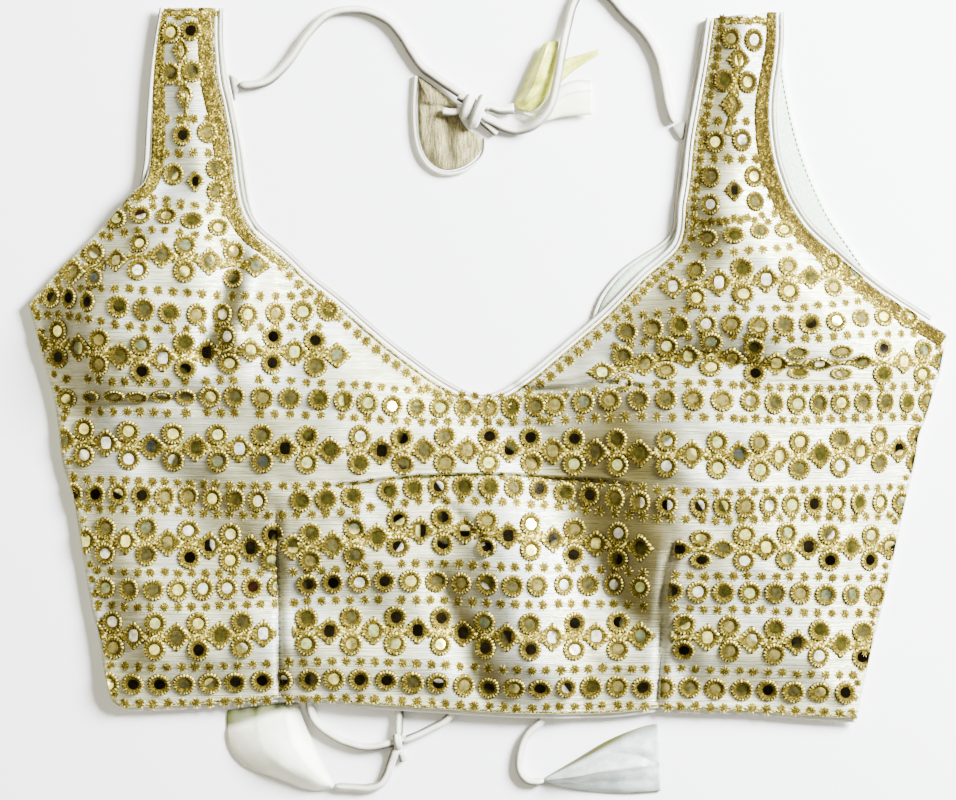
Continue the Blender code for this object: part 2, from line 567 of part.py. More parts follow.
def leaf(row, collection):
    """Satin leaf of a latkan: a sheet between two edges, arched and softly pleated across."""
    left = even_stops(smooth_run(row["left"]), LEAF_ROWS)[:, None, :]
    right = even_stops(smooth_run(row["right"]), LEAF_ROWS)[:, None, :]
    run = np.linspace(0, 1, LEAF_ROWS + 1)[:, None]
    across = np.linspace(-1, 1, LEAF_COLUMNS + 1)[None, :]
    place = left + (right - left) * ((across + 1) / 2)[..., None]
    inside = 1 - across ** 2
    arch = row["crest"] * inside * np.sin(math.pi * (0.12 + 0.83 * run))
    waves = row["pleat"] * inside * (1 + np.sin(2.5 * math.pi * across + 1.0)) * run
    end_fade = ease((1.04 - run) / 0.25)
    z = row["floor"] + LEAF_WALL + (arch + waves) * end_fade
    top = np.column_stack([place[..., 0].ravel(), place[..., 1].ravel(), z.ravel()])
    quads = grid_faces(*z.shape)
    bottom = top - np.array([0, 0, LEAF_WALL])
    return finish(closed_wall(row["name"], top, bottom, quads, collection), "satin")


def neck_tie(collection):
    """Both cords of the neck tie, their tabs, the knot and its two latkans."""
    cord("dori_left", DORI_LEFT, CORD_RADIUS, collection)
    cord("dori_right", DORI_RIGHT, CORD_RADIUS, collection)
    knot("knot_neck", KNOT_NECK, collection)
    tube("latkan_tail", thinned(smooth_run(LATKAN_TAIL), 4.0), STUB_RADIUS, "piping", collection)
    tube("knot_neck_stub", thinned(smooth_run(STUB), 3.0), STUB_RADIUS, "piping", collection)
    for name, outline in TABS:
        tab = flat_outline(name, outline, SEAM_GAP, SEAM_GAP + TAB_WALL, collection)
        finish(tab, "piping")
    outline = smooth_run(TEARDROP[1:] + TEARDROP[:1], 2)
    drop = flat_outline("latkan_teardrop", outline, RESTING, RESTING + TEARDROP_WALL, collection)
    finish(drop, "weave")
    rim = smooth_run(TEARDROP[TEARDROP_RIM_FROM:] + TEARDROP[:1])
    rim = thinned(offset_line(rim, TEARDROP_PIPING + SEAM_GAP + 0.15), 5.0)
    rim = np.column_stack([rim, np.full(len(rim), TEARDROP_PIPING + RESTING)])
    tube("latkan_teardrop_piping", rim, TEARDROP_PIPING, "piping", collection)
    for row in LEAVES[:3]:
        leaf(row, collection)


def hem_ties(collection):
    """The two ties of the back hem with their bow and latkans."""
    cord("hem_tie_left", TIE_LEFT, TIE_RADIUS, collection)
    cord("hem_tie_left_end", TIE_LEFT_END, TIE_RADIUS, collection)
    cord("hem_bow_ear", BOW_EAR, TIE_RADIUS, collection)
    cord("hem_tie_right", TIE_RIGHT, TIE_RADIUS, collection)
    knot("knot_hem", KNOT_HEM, collection)
    tube("knot_hem_stub", np.array(BOW_STUB), STUB_RADIUS, "piping", collection)
    for row in LEAVES[3:]:
        leaf(row, collection)


def main():
    clear_scene()
    collection = bpy.data.collections.new(OBJECT_NAME)
    bpy.context.scene.collection.children.link(collection)
    front_panel(collection)
    hem_facing(collection)
    back_halves(collection)
    pipings(collection)
    neck_tie(collection)
    hem_ties(collection)


main()
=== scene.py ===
# %% [markdown]
# # A choli laid flat
# A choli is the short fitted blouse worn under a sari.  This one has a sleeveless front of
# dupion silk, covered in bands of small mirrors held down by gold thread, two low cups, a
# deep open back that closes with ties, and tassels of cloth (latkans) on the tie ends.
# It lies on its back on a pale surface, looked at from straight above.
# First comes the frame: the solids that carry weight and collision.  Everything below is
# cut, stitched and knotted over them, in the same place and at the same size.

import math

import bmesh
import bpy
import numpy as np
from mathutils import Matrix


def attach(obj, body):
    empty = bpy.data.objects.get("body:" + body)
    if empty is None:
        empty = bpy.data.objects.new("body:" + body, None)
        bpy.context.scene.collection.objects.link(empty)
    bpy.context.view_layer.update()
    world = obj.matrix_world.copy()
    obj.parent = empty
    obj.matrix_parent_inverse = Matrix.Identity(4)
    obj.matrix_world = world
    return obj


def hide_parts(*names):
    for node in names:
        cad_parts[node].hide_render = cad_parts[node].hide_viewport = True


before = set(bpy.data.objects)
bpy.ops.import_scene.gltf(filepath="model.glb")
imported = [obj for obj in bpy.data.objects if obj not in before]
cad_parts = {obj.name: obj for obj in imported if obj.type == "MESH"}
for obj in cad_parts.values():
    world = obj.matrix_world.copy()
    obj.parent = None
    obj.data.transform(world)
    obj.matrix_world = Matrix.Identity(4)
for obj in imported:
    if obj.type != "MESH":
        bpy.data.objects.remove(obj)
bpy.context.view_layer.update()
MM = 0.001
print("frame:", len(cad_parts), "solids")

# %% [markdown]
# ## Camera, table and light
# The camera hangs far above the middle of the cloth with a long lens, so upright edges do
# not lean.  A pale table catches soft shadows.  The key light stands high on the right and a
# bright sky fills from all round, which is how white goods are usually lit: the silk stays
# white and only the flanks of the folds that look left go darker.

# %% Camera, table and light
VIEW_X, VIEW_Y, VIEW_Z = -0.005, -0.0175, 1.6
VIEW_WIDTH, CLOTH_LEVEL = 0.478, 0.005

lens = bpy.data.cameras.new("camera")
lens.sensor_fit, lens.sensor_width = "HORIZONTAL", 36.0
lens.lens = lens.sensor_width * (VIEW_Z - CLOTH_LEVEL) / VIEW_WIDTH
camera = bpy.data.objects.new("camera", lens)
camera.location = (VIEW_X, VIEW_Y, VIEW_Z)
bpy.context.scene.collection.objects.link(camera)
bpy.context.scene.camera = camera


def area_light(name, place, target, size, power, colour):
    """Square soft light at place, aimed at target."""
    data = bpy.data.lights.new(name, "AREA")
    data.shape, data.size, data.energy, data.color = "SQUARE", size, power, colour
    lamp = bpy.data.objects.new(name, data)
    lamp.location = place
    aim = np.array(target) - np.array(place)
    flat = math.hypot(aim[0], aim[1])
    lamp.rotation_euler = (math.atan2(flat, -aim[2]), 0.0, math.atan2(-aim[0], aim[1]))
    bpy.context.scene.collection.objects.link(lamp)


area_light("key", (1.22, 0.72, 0.84), (0.0, -0.02, 0.0), 0.65, 330.0, (0.94, 0.98, 1.0))
area_light("fill", (-1.3, 0.1, 1.0), (0.0, 0.0, 0.0), 1.2, 12.0, (1.0, 0.90, 0.58))
world = bpy.data.worlds.new("sky")
world.use_nodes = True
sky = world.node_tree.nodes["Background"]
sky.inputs["Color"].default_value = (1.0, 0.97, 0.84, 1.0)
sky.inputs["Strength"].default_value = 0.48
bpy.context.scene.world = world
print("camera lens %.1f mm, %.2f m above the table" % (lens.lens, VIEW_Z))

# %% [markdown]
# ## Lines, surfaces and pieces
# A pattern cutter works from a few marked points joined by smooth curves.  `smooth_run` does
# the same, `thinned` walks along a curve at even steps, and `offset_line` draws a second line
# beside it, as for a seam allowance.  A surface is a grid of points with two parameters, and
# `grid_quads` names its four-sided faces.  Each finished piece is put into a mesh by `piece`,
# which also gives it a body to ride on, a finish, and the solids it stands for.

# %% Lines, surfaces and pieces
def smooth_run(points, steps=8):
    """Catmull-Rom curve: each span blends its two ends and their neighbours by cubics."""
    knots = np.array(points, dtype=float)
    padded = np.vstack([2 * knots[0] - knots[1], knots, 2 * knots[-1] - knots[-2]])
    share = np.linspace(0, 1, steps, endpoint=False)[None, :, None]
    before, start, end, after = (padded[k:len(knots) - 1 + k, None, :] for k in range(4))
    curve = 0.5 * (2 * start + (end - before) * share
                   + (2 * before - 5 * start + 4 * end - after) * share ** 2
                   + (3 * start - before - 3 * end + after) * share ** 3)
    return np.vstack([curve.reshape(-1, knots.shape[1]), knots[-1:]])


def joined(*runs):
    """Smooth runs end to end, sharp where they meet."""
    pieces = [smooth_run(run) for run in runs]
    return np.vstack([pieces[0]] + [run[1:] for run in pieces[1:]])


def length_along(line):
    """Running length at each point of a line."""
    return np.concatenate([[0], np.cumsum(np.linalg.norm(np.diff(line, axis=0), axis=1))])


def even_stops(line, count):
    """count + 1 points at even steps along a line."""
    run = length_along(line)
    stops = np.linspace(0, run[-1], count + 1)
    return np.column_stack([np.interp(stops, run, line[:, k]) for k in range(line.shape[1])])


def thinned(line, spacing):
    """Points about one spacing apart, with both ends."""
    return even_stops(line, max(2, int(round(length_along(line)[-1] / spacing))))


def directions(line):
    """Unit vector along a line at each of its points."""
    along = np.gradient(line, axis=0)
    return along / np.linalg.norm(along, axis=1)[:, None]


def offset_line(line, distance):
    """Line moved sideways, to the left of its direction where the distance is above zero."""
    along = directions(line)
    return line + distance * np.column_stack([-along[:, 1], along[:, 0]])


def ease(value):
    """Smooth step: 3 t squared minus 2 t cubed, from 0 to 1."""
    value = np.clip(value, 0.0, 1.0)
    return value * value * (3 - 2 * value)


def distance_to(line, x, y):
    """Shortest distance of every point to an open line of (x, y)."""
    start, along = line[:-1], np.diff(line, axis=0)
    size = np.maximum((along ** 2).sum(axis=1), 1e-9)
    best = np.full(np.shape(x), np.inf)
    for (sx, sy), (dx, dy), length2 in zip(start, along, size):
        share = np.clip(((x - sx) * dx + (y - sy) * dy) / length2, 0, 1)
        best = np.minimum(best, (x - sx - share * dx) ** 2 + (y - sy - share * dy) ** 2)
    return np.sqrt(best)


def signed_area(ring):
    """Area inside a closed outline of (x, y), above zero where it runs anticlockwise."""
    after = np.roll(ring, -1, axis=0)
    return (ring[:, 0] * after[:, 1] - after[:, 0] * ring[:, 1]).sum() / 2


def x_on(line, y):
    """x of an edge that climbs steadily, at each y."""
    order = np.argsort(line[:, 1], kind="stable")
    return np.interp(y, line[order, 1], line[order, 0])


def grid_quads(rows, columns, flip=False, wrap=False):
    """Four-sided faces of a grid, row by row; wrap joins the last column to the first."""
    first = np.arange(rows * columns).reshape(rows, columns)
    if wrap:
        first = np.hstack([first, first[:, :1]])
    quads = np.stack([first[:-1, :-1], first[:-1, 1:], first[1:, 1:], first[1:, :-1]], axis=-1)
    quads = quads.reshape(-1, 4)
    return quads[:, ::-1] if flip else quads


def end_rows(rows, columns):
    """Numbers of the points in the first and in the last row of a grid."""
    return list(range(columns)), list(range((rows - 1) * columns, rows * columns))


def stacked(x, y, z):
    """List of points from three grids."""
    return np.stack([x, y, z], axis=-1).reshape(-1, 3)


def round_angles(count):
    """Even angles all the way round."""
    return 2 * math.pi * np.arange(count) / count


def piece(name, points, faces, material, nodes=(), marks=None, merge=False):
    """Mesh piece from points in millimetres; marks are named numbers or colours per point."""
    mesh = bpy.data.meshes.new(name)
    mesh.from_pydata((np.asarray(points) * MM).tolist(), [], [list(map(int, f)) for f in faces])
    for label, values in (marks or {}).items():
        values = np.asarray(values, dtype=np.float32)
        if values.ndim == 1:
            mesh.attributes.new(label, "FLOAT", "POINT").data.foreach_set("value", values)
        else:
            layer = mesh.attributes.new(label, "FLOAT_COLOR", "POINT")
            layer.data.foreach_set("color", values.ravel())
    if merge:
        shell = bmesh.new()
        shell.from_mesh(mesh)
        bmesh.ops.remove_doubles(shell, verts=shell.verts, dist=1e-6)
        shell.to_mesh(mesh)
        shell.free()
    mesh.polygons.foreach_set("use_smooth", np.ones(len(mesh.polygons), dtype=bool))
    obj = bpy.data.objects.new(name, mesh)
    bpy.context.scene.collection.objects.link(obj)
    mesh.materials.append(material)
    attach(obj, "root")
    if nodes:
        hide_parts(*nodes)
    return obj


def solidify(obj, wall):
    """Give a one-sided sheet its thickness, in millimetres, behind its face."""
    modifier = obj.modifiers.new("wall", "SOLIDIFY")
    modifier.thickness, modifier.offset = wall * MM, -1.0
    modifier.use_even_offset = False


def tube_surface(line, radius, sides=12, wave=None):
    """Tube: a ring of points carried along the line in a frame that does not twist.

    Point (i, j) = line(i) + radius(i, j) * (cos a(j) * side(i) + sin a(j) * up(i)).
    Returns points, quads and caps.
    """
    line = np.asarray(line, dtype=float)
    along = directions(line)
    up = np.tile(np.array([0.0, 0.0, 1.0]), (len(line), 1))
    side = np.cross(along, up)
    weak = np.linalg.norm(side, axis=1) < 0.05
    side[weak] = np.cross(along[weak], np.array([1.0, 0.0, 0.0]))
    side /= np.linalg.norm(side, axis=1)[:, None]
    up = np.cross(side, along)
    angle = np.linspace(0, 2 * math.pi, sides, endpoint=False)
    size = np.broadcast_to(np.asarray(radius, dtype=float).reshape(-1, 1), (len(line), sides))
    if wave is not None:
        size = size * wave(length_along(line)[:, None], angle[None, :])
    spoke = (np.cos(angle)[None, :, None] * side[:, None, :]
             + np.sin(angle)[None, :, None] * up[:, None, :])
    points = line[:, None, :] + size[..., None] * spoke
    first, last = end_rows(len(line), sides)
    quads = grid_quads(len(line), sides, flip=True, wrap=True)
    return points.reshape(-1, 3), quads, [first, last[::-1]]


print("helpers ready")

# %% [markdown]
# ## The cut of the front
# The tables repeat the cut and the laid shape of the solids, in millimetres: the outline,
# the two cups and the swells of the midriff, and the long soft folds.  On the real blouse
# the side seams, the hem and the armholes are stitched to the lining and keep the front low
# there, and the silk rises between them.

# %% The cut of the front
CENTRE_X, NECK_Y = -4.0, -18.0
SIDE_LEFT = [(-182, -171.5), (-189, -165.5), (-194.5, -138), (-199.5, -115.5), (-207, -69.5),
             (-213, -48), (-216.5, -20.5), (-223, 4), (-230, 30.5)]
FOLDED_EDGE_LEFT = [(-230, 30.5), (-215.5, 46.5), (-203, 59), (-189, 73), (-178, 86)]
STRAP_OUTER_LEFT = [(-178, 86), (-171.5, 91.5), (-169, 103), (-168.3, 125), (-167.7, 147.5),
                    (-166.3, 164), (-164, 178.5)]
NECKLINE = [(-135.5, 178.5), (-135.6, 162.5), (-134, 143.5), (-131, 130), (-127.5, 111),
            (-125, 90.5), (-122.3, 78), (-116, 67), (-102.5, 55.5), (-89, 42.5), (-74.5, 31),
            (-61.5, 19.5), (-49, 9), (-36.5, -0.5), (-26, -8), (-14.5, -14.5), (-4, -18),
            (9, -14.5), (22.5, -5.5), (34, 4), (47, 15), (59, 25.5), (69.5, 36), (78.5, 45),
            (87, 52), (94, 59), (97, 67.5), (98, 80), (100, 92.5), (102, 112.5), (105.5, 132.5),
            (109, 152.5), (112, 173.5)]
SIDE_RIGHT = [(184.5, -177), (187, -163.5), (192.5, -140), (199, -114.5), (203, -97),
              (209, -68.5), (214, -48), (216, -35), (219.5, -26), (222.5, -15.5), (226.5, -3),
              (230, 15.5)]
ARMHOLE_RIGHT = [(230, 15.5), (212, 27), (200.5, 34.5), (185, 46.5), (173, 57), (160.5, 68.5),
                 (152.5, 80), (148, 90), (143.5, 105), (141.5, 122.5), (142, 137.5),
                 (144, 151.5), (145, 162.5), (145, 176.5)]
HEM = [(-182, -171.5), (-152.5, -170.5), (-122, -168), (-103.5, -166.5), (-81, -167.5),
       (-63.5, -169.5), (-33, -171.5), (-2, -173.5), (20.5, -174.5), (56.5, -174.5),
       (74, -173), (86, -171.5), (101, -172.5), (127.5, -173), (158, -175.5), (184.5, -177)]

# Levels that tie the inner edge of each half to its outer edge: (y inside, y outside)
LEVELS_LEFT = [(NECK_Y, NECK_Y), (-14.5, -14.5), (-8, -8), (30.5, 30.5), (67, 73), (84, 86),
               (120, 120), (178.5, 178.5)]
LEVELS_RIGHT = [(NECK_Y, NECK_Y), (-14.5, -14.5), (-5.5, -5.5), (15.5, 15.5), (59, 60),
                (70, 74), (90, 90), (132.5, 135), (173.5, 176.5)]

HILL_POWER = 2.6
# Hills: name, x, y, half length, half width, turn in degrees, height, softness of the rim
MOUNDS = [
    ("cup_left", -164, 26, 45, 40, 20, 14.0, 0.60),
    ("cup_right", 150, 37, 58, 34, -20, 12.0, 0.66),
    ("midriff_centre", -52, -62, 68, 46, 0, 5.5, 0.55),
    ("midriff_right", 172, -62, 60, 86, 0, 4.0, 0.50),
    ("waist_left", -140, -128, 46, 26, 8, 4.0, 0.60),
    ("ridge_centre", 18, -116, 17, 50, 14, 6.5, 0.70),
]
# Soft folds: name, x0, y0, x1, y1, half width, height (a trough is below zero)
FOLDS = [
    ("neck_ridge_left", -112, 66, -123, 12, 8, 7.0),
    ("cup_trough_left", -126, 50, -142, 6, 7, -5.0),
    ("side_dart_left", -212, -21, -146, -15, 6, -1.4),
    ("waist_valley_left", -166, -50, -104, -112, 13, -2.6),
    ("basin", 14, -40, 56, -96, 18, -4.0),
    ("centre_valley", -24, -108, -4, -166, 8, -3.8),
    ("waist_valley_right", 60, -112, 100, -154, 9, -2.4),
    ("under_cup_right", 62, -2, 128, 4, 7, -3.5),
]

# A fold where the silk passes over the piping that turns in under the left shoulder
PIPING_PASS = (-173.5, 88.5, -178.5, 77, 9.5, 4.2)
SEAM_GAP, FRONT_WALL, LINING_TOP = 0.3, 1.6, 2.3
EDGE_FACE = LINING_TOP + SEAM_GAP + FRONT_WALL + 0.15
# Lift of the silk inside its edges, and how far inwards each kind of shape takes to rise
INNER_LIFT, INNER_LIFT_RUN, CUP_RUN, FOLD_RUN, TUCK_RUN = 6.0, 30.0, 30.0, 16.0, 8.0
# How much further away the neckline counts, and over how many mm the two distances blend
NECK_EXTRA, EDGE_BLEND = 4.0, 4.0
# Lifts over the hem's facing and over the ties that cross under it, their ends and fades
HEM_LIFT, HEM_LIFT_TO, HEM_LIFT_FADE = 1.55, -156.0, 26.0
TIE_LIFT, TIE_LIFT_FROM, TIE_LIFT_TO, TIE_LIFT_FADE = 2.3, -104.0, 50.0, 16.0

OUTER_LEFT = joined(SIDE_LEFT, FOLDED_EDGE_LEFT, STRAP_OUTER_LEFT)
OUTER_RIGHT = joined(SIDE_RIGHT, ARMHOLE_RIGHT)
NECK = smooth_run(NECKLINE)
HEM_LINE = smooth_run(HEM)
SEWN_EDGE = np.vstack([OUTER_LEFT[::-4], HEM_LINE[::4], OUTER_RIGHT[::4]])
NECK_EDGE = NECK[::2]
LOWEST = int(np.argmin(NECK[:, 1]))
print("hem %.0f mm, neckline %.0f mm" % (length_along(HEM_LINE)[-1], length_along(NECK)[-1]))

# %% [markdown]
# ## How the front lies
# The face of the silk is a height over the table: a low edge, a lift towards the middle,
# flat-topped hills for cups and midriff, and bell-shaped folds.  The solids stop there.
# Here comes what only cloth shows: long ridges, the stitched waist darts, and the tucks that
# slack silk makes when a fitted blouse is pressed flat.  Each tuck is a narrow valley along
# a line with a soft lip on its upper side, because the upper cloth falls over it.

# %% How the front lies
# Each tuck fades over this share of its length, each ridge over so many mm past its ends
TUCK_FADE, RIDGE_FADE = 0.16, 16
# Long ridges: name, points (x, y, width of the left flank, height) from the top, right width
RIDGES = [
    ("right_panel", [(116, 30, 50, 7), (108, 0, 62, 12), (104, -30, 68, 17),
                     (99, -60, 60, 17.5), (94, -85, 50, 16.5), (91, -105, 38, 13),
                     (89, -125, 28, 8), (88, -150, 24, 4)], 128),
    ("left_panel", [(-78, 0, 80, 4), (-78, -60, 90, 4), (-80, -110, 90, 4)], 66),
    ("lower_centre", [(-15, -88, 15, 1), (-6, -118, 15, 1.2), (10, -150, 15, 1.2),
                      (14, -168, 15, 1)], 42),
]
TUCKS = [
    # name, points, half width, depth, lip
    ("waist_dart_left", [(-105, -72), (-104.3, -120), (-103.4, -170)], 1.6, 2.4, 0.5),
    ("waist_dart_right", [(92, -86), (88, -105), (86.3, -124), (85, -174)], 1.6, 2.6, 0.5),
    ("under_band_right", [(2, -10.5), (20, -12), (38, -11.5), (58, -8.5), (78, -11)],
     1.1, 2.6, 1.2),
    ("under_band_left", [(-110, -21), (-60, -24)], 2.2, 1.0, 0.3),
    ("centre_band", [(-42, -28.5), (-10, -29.5), (34, -31)], 1.1, 1.0, 0.3),
    ("under_bust", [(-80, -61), (-66, -59), (-44, -56.4), (-4, -54.8), (20, -55.6),
                    (34, -57), (56, -57.6), (74, -60)], 0.8, 2.6, 1.2),
    ("side_dart_left", [(-216, -21), (-190, -19.5), (-165, -17.5), (-142, -15)], 1.6, 0.9, 0.7),
    ("side_dart_right", [(112, 3), (140, -1), (165, -1.5), (186, 2)], 2.2, 2.2, 0.8),
    ("slant_crease", [(-28, -66), (-12, -77), (5, -98)], 2.4, 1.5, 0.4),
    ("hip_crease_left", [(-92, -84), (-74, -78), (-60, -86)], 3.0, 1.4, 0.5),
]


def turned_axes(x, y, cx, cy, turn):
    """(x, y) counted from (cx, cy) along axes turned by so many degrees."""
    c, s = math.cos(math.radians(turn)), math.sin(math.radians(turn))
    return (x - cx) * c + (y - cy) * s, (y - cy) * c - (x - cx) * s


def mound(x, y, cx, cy, half_length, half_width, turn, height, soft):
    """Flat-topped hill: a rounded oval of power 2.6, easing to nothing over its rim."""
    u, v = turned_axes(x, y, cx, cy, turn)
    u, v = u / half_length, v / half_width
    radius = (np.abs(u) ** HILL_POWER + np.abs(v) ** HILL_POWER) ** (1 / HILL_POWER)
    return height * ease((1 + soft - radius) / (2 * soft))


def fold(x, y, x0, y0, x1, y1, half_width, height):
    """Bell across a line: height times e to the minus distance squared over width squared."""
    dx, dy = x1 - x0, y1 - y0
    size = math.hypot(dx, dy)
    along = ((x - x0) * dx + (y - y0) * dy) / size
    across = ((y - y0) * dx - (x - x0) * dy) / size
    past = np.maximum(0, np.maximum(-along, along - size))
    return height * np.exp(-(across ** 2 + past ** 2) / half_width ** 2)


def tuck(x, y, points, half_width, depth, lip):
    """Narrow valley along a curve y(x) or x(y), with a lip above it, faded at both ends."""
    line = smooth_run(points)
    wide = abs(line[-1, 0] - line[0, 0]) > abs(line[-1, 1] - line[0, 1])
    run, across = (x, y) if wide else (y, x)
    a, b = (line[:, 0], line[:, 1]) if wide else (line[::-1, 1], line[::-1, 0])
    gap = across - np.interp(run, a, b)
    size = TUCK_FADE * (a[-1] - a[0])
    fade = ease((run - a[0]) / size + 0.3) * ease((a[-1] - run) / size + 0.3)
    valley = -depth * np.exp(-(gap / half_width) ** 2)
    return fade * (valley + lip * np.exp(-((gap - 2.4 * half_width) / (2 * half_width)) ** 2))


NOISE_TABLE = np.random.default_rng(7).uniform(-1, 1, (64, 64))


def soft_noise(x, y, cell, shift=0):
    """Random heights on a grid of cells, blended by smooth steps, from -1 to 1."""
    u, v = x / cell + 31.7 + shift, y / cell + 29.3 + 2 * shift
    column, row = np.floor(u).astype(int), np.floor(v).astype(int)
    across, up = ease(u - column), ease(v - row)
    corner = [NOISE_TABLE[(row + j) % 64, (column + i) % 64] for j in (0, 1) for i in (0, 1)]
    low = corner[0] + (corner[1] - corner[0]) * across
    high = corner[2] + (corner[3] - corner[2]) * across
    return low + (high - low) * up


def puckers(x, y):
    """Loose silk: three sizes of noise, each turned a little and drawn out along the weft."""
    total = 0.0
    for cell, size, turn in ((24.0, 0.9, 0.5), (12.0, 0.5, -0.4), (6.5, 0.22, 0.2)):
        c, s = math.cos(turn), math.sin(turn)
        total = total + size * soft_noise(x * c + y * s, (y * c - x * s) * 1.35, cell, cell)
    return total


def ridge(x, y, points, right):
    """Ridge down a curve x(y): it climbs over each point's width on its left, then falls."""
    line = smooth_run(points)[::-1]
    gap, left, height = (np.interp(y, line[:, 1], line[:, k]) for k in (0, 2, 3))
    gap = x - gap
    bottom, top = line[0, 1], line[-1, 1]
    fade = (ease((top + RIDGE_FADE - y) / (2 * RIDGE_FADE))
            * ease((y - bottom + RIDGE_FADE) / (2 * RIDGE_FADE)))
    return height * fade * np.where(gap < 0, ease(1 + gap / left), ease(1 - gap / right))


def cloth_height(x, y):
    """Height of the silk's face over the table at every (x, y), in millimetres.

    The distance to the edges is a soft minimum of two, so a strap has no ridge down it.
    """
    x, y = np.asarray(x, dtype=float), np.asarray(y, dtype=float)
    outside, inside = distance_to(SEWN_EDGE, x, y), distance_to(NECK_EDGE, x, y) + NECK_EXTRA
    edge = np.maximum(0, -EDGE_BLEND * np.log(np.exp(-outside / EDGE_BLEND)
                                              + np.exp(-inside / EDGE_BLEND)))
    hem_near = 1 - ease((y - HEM_LIFT_TO) / HEM_LIFT_FADE)
    tie_near = ease((x - TIE_LIFT_FROM) / TIE_LIFT_FADE) * ease((TIE_LIFT_TO - x) / TIE_LIFT_FADE)
    height = EDGE_FACE + hem_near * (HEM_LIFT + TIE_LIFT * tie_near)
    height = height + INNER_LIFT * ease(edge / INNER_LIFT_RUN)
    for _, *shape in MOUNDS:
        height = height + mound(x, y, *shape) * ease(edge / CUP_RUN)
    for _, *shape in FOLDS:
        height = height + fold(x, y, *shape) * ease(edge / FOLD_RUN)
    for _, points, right in RIDGES:
        height = height + ridge(x, y, points, right) * ease(edge / CUP_RUN)
    height = height + fold(x, y, *PIPING_PASS)
    near = ease(edge / TUCK_RUN)
    for name, points, half_width, depth, lip in TUCKS:
        strength = 1.0 if name.startswith("waist") else near
        height = height + strength * tuck(x, y, points, half_width, depth, lip)
    return np.maximum(height + near * puckers(x, y), EDGE_FACE)


def slopes(x, y, step=0.6):
    """Rise of the face per millimetre, across and up."""
    return ((cloth_height(x + step, y) - cloth_height(x - step, y)) / (2 * step),
            (cloth_height(x, y + step) - cloth_height(x, y - step)) / (2 * step))


print("silk stands up to %.1f mm over the table" % cloth_height(-164, 26))

# %% [markdown]
# ## Finishes
# Dupion silk has thick slubs along the weft, so it shows long pale streaks across the body.
# One node group makes streaks for every woven finish here: noise pulled out along X, coarse
# for the slubs and fine for the threads.  The silk's shade is painted: a mark called shade
# mixes in a dark brownish green where the cloth leans away from the light and in listed
# patches, and soft random patches of a cool colour are painted cool light.  The gold is flat
# metal thread wound on a core: a mark called groove carries painted shade and light, dark
# brown between stitches and in hollows and pale gold with painted glints on top.  The mirrors
# are silvered glass, and what each one reflects is painted into its colour by a colour mark;
# thin hand silvering also scatters light, so they are half metal.

# %% Finishes
def node(tree, kind, links=None, **settings):
    """Add a node, set its properties, and link or set its inputs by name or number."""
    made = tree.nodes.new(kind)
    for label, value in settings.items():
        setattr(made, label, value)
    for socket, value in (links or {}).items():
        if isinstance(value, bpy.types.NodeSocket):
            tree.links.new(value, made.inputs[socket])
        else:
            made.inputs[socket].default_value = value
    return made


def maths(tree, operation, first, second, clamp=False):
    """One sum or product of two inputs."""
    return node(tree, "ShaderNodeMath", {0: first, 1: second}, operation=operation,
                use_clamp=clamp).outputs[0]


def mixed(tree, factor, first, second, blend="MIX"):
    """Two colours mixed; each is a socket or three numbers."""
    first, second = ((*colour, 1.0) if isinstance(colour, tuple) else colour
                     for colour in (first, second))
    return node(tree, "ShaderNodeMix", {"Factor": factor, 6: first, 7: second},
                data_type="RGBA", blend_type=blend).outputs[2]


def mark(tree, label, output="Fac"):
    """A mark of the piece: a number, or with output Color a colour."""
    return node(tree, "ShaderNodeAttribute", attribute_name=label).outputs[output]


def noise(tree, scale, detail):
    """Noise in the object's own space, at so many cells per metre."""
    place = node(tree, "ShaderNodeTexCoord").outputs["Object"]
    return node(tree, "ShaderNodeTexNoise",
                {"Vector": place, "Scale": scale, "Detail": detail}).outputs["Fac"]


def streaks_group():
    """Streaks: a coarse and a fine noise, stretched along X, mixed 2 to 1, and a height."""
    tree = bpy.data.node_groups.new("weft_streaks", "ShaderNodeTree")
    tree.interface.new_socket("Slub", in_out="INPUT", socket_type="NodeSocketVector")
    tree.interface.new_socket("Thread", in_out="INPUT", socket_type="NodeSocketVector")
    tree.interface.new_socket("Streak", in_out="OUTPUT", socket_type="NodeSocketFloat")
    tree.interface.new_socket("Height", in_out="OUTPUT", socket_type="NodeSocketFloat")
    enter = node(tree, "NodeGroupInput")
    place = node(tree, "ShaderNodeTexCoord").outputs["Object"]
    coarse = node(tree, "ShaderNodeMapping", {"Vector": place, "Scale": enter.outputs["Slub"]})
    fine = node(tree, "ShaderNodeMapping", {"Vector": place, "Scale": enter.outputs["Thread"]})
    slub = node(tree, "ShaderNodeTexNoise", {"Vector": coarse.outputs[0], "Scale": 1.0,
                                             "Detail": 3.0, "Roughness": 0.6})
    thread = node(tree, "ShaderNodeTexNoise", {"Vector": fine.outputs[0], "Scale": 1.0,
                                               "Detail": 1.0})
    both = maths(tree, "MULTIPLY", slub.outputs["Fac"], 2.0)
    total = maths(tree, "ADD", both, thread.outputs["Fac"])
    spread = node(tree, "ShaderNodeMapRange", {"Value": total, "From Min": 1.2,
                                               "From Max": 1.84})
    node(tree, "NodeGroupOutput", {"Streak": spread.outputs[0], "Height": total})
    return tree


STREAKS = streaks_group()


def blank(name, **values):
    """New material with its Principled shader's own sockets set."""
    material = bpy.data.materials.new(name)
    material.use_nodes = True
    shader = material.node_tree.nodes["Principled BSDF"]
    for socket, value in values.items():
        shader.inputs[socket.replace("_", " ")].default_value = value
    return material, material.node_tree, shader


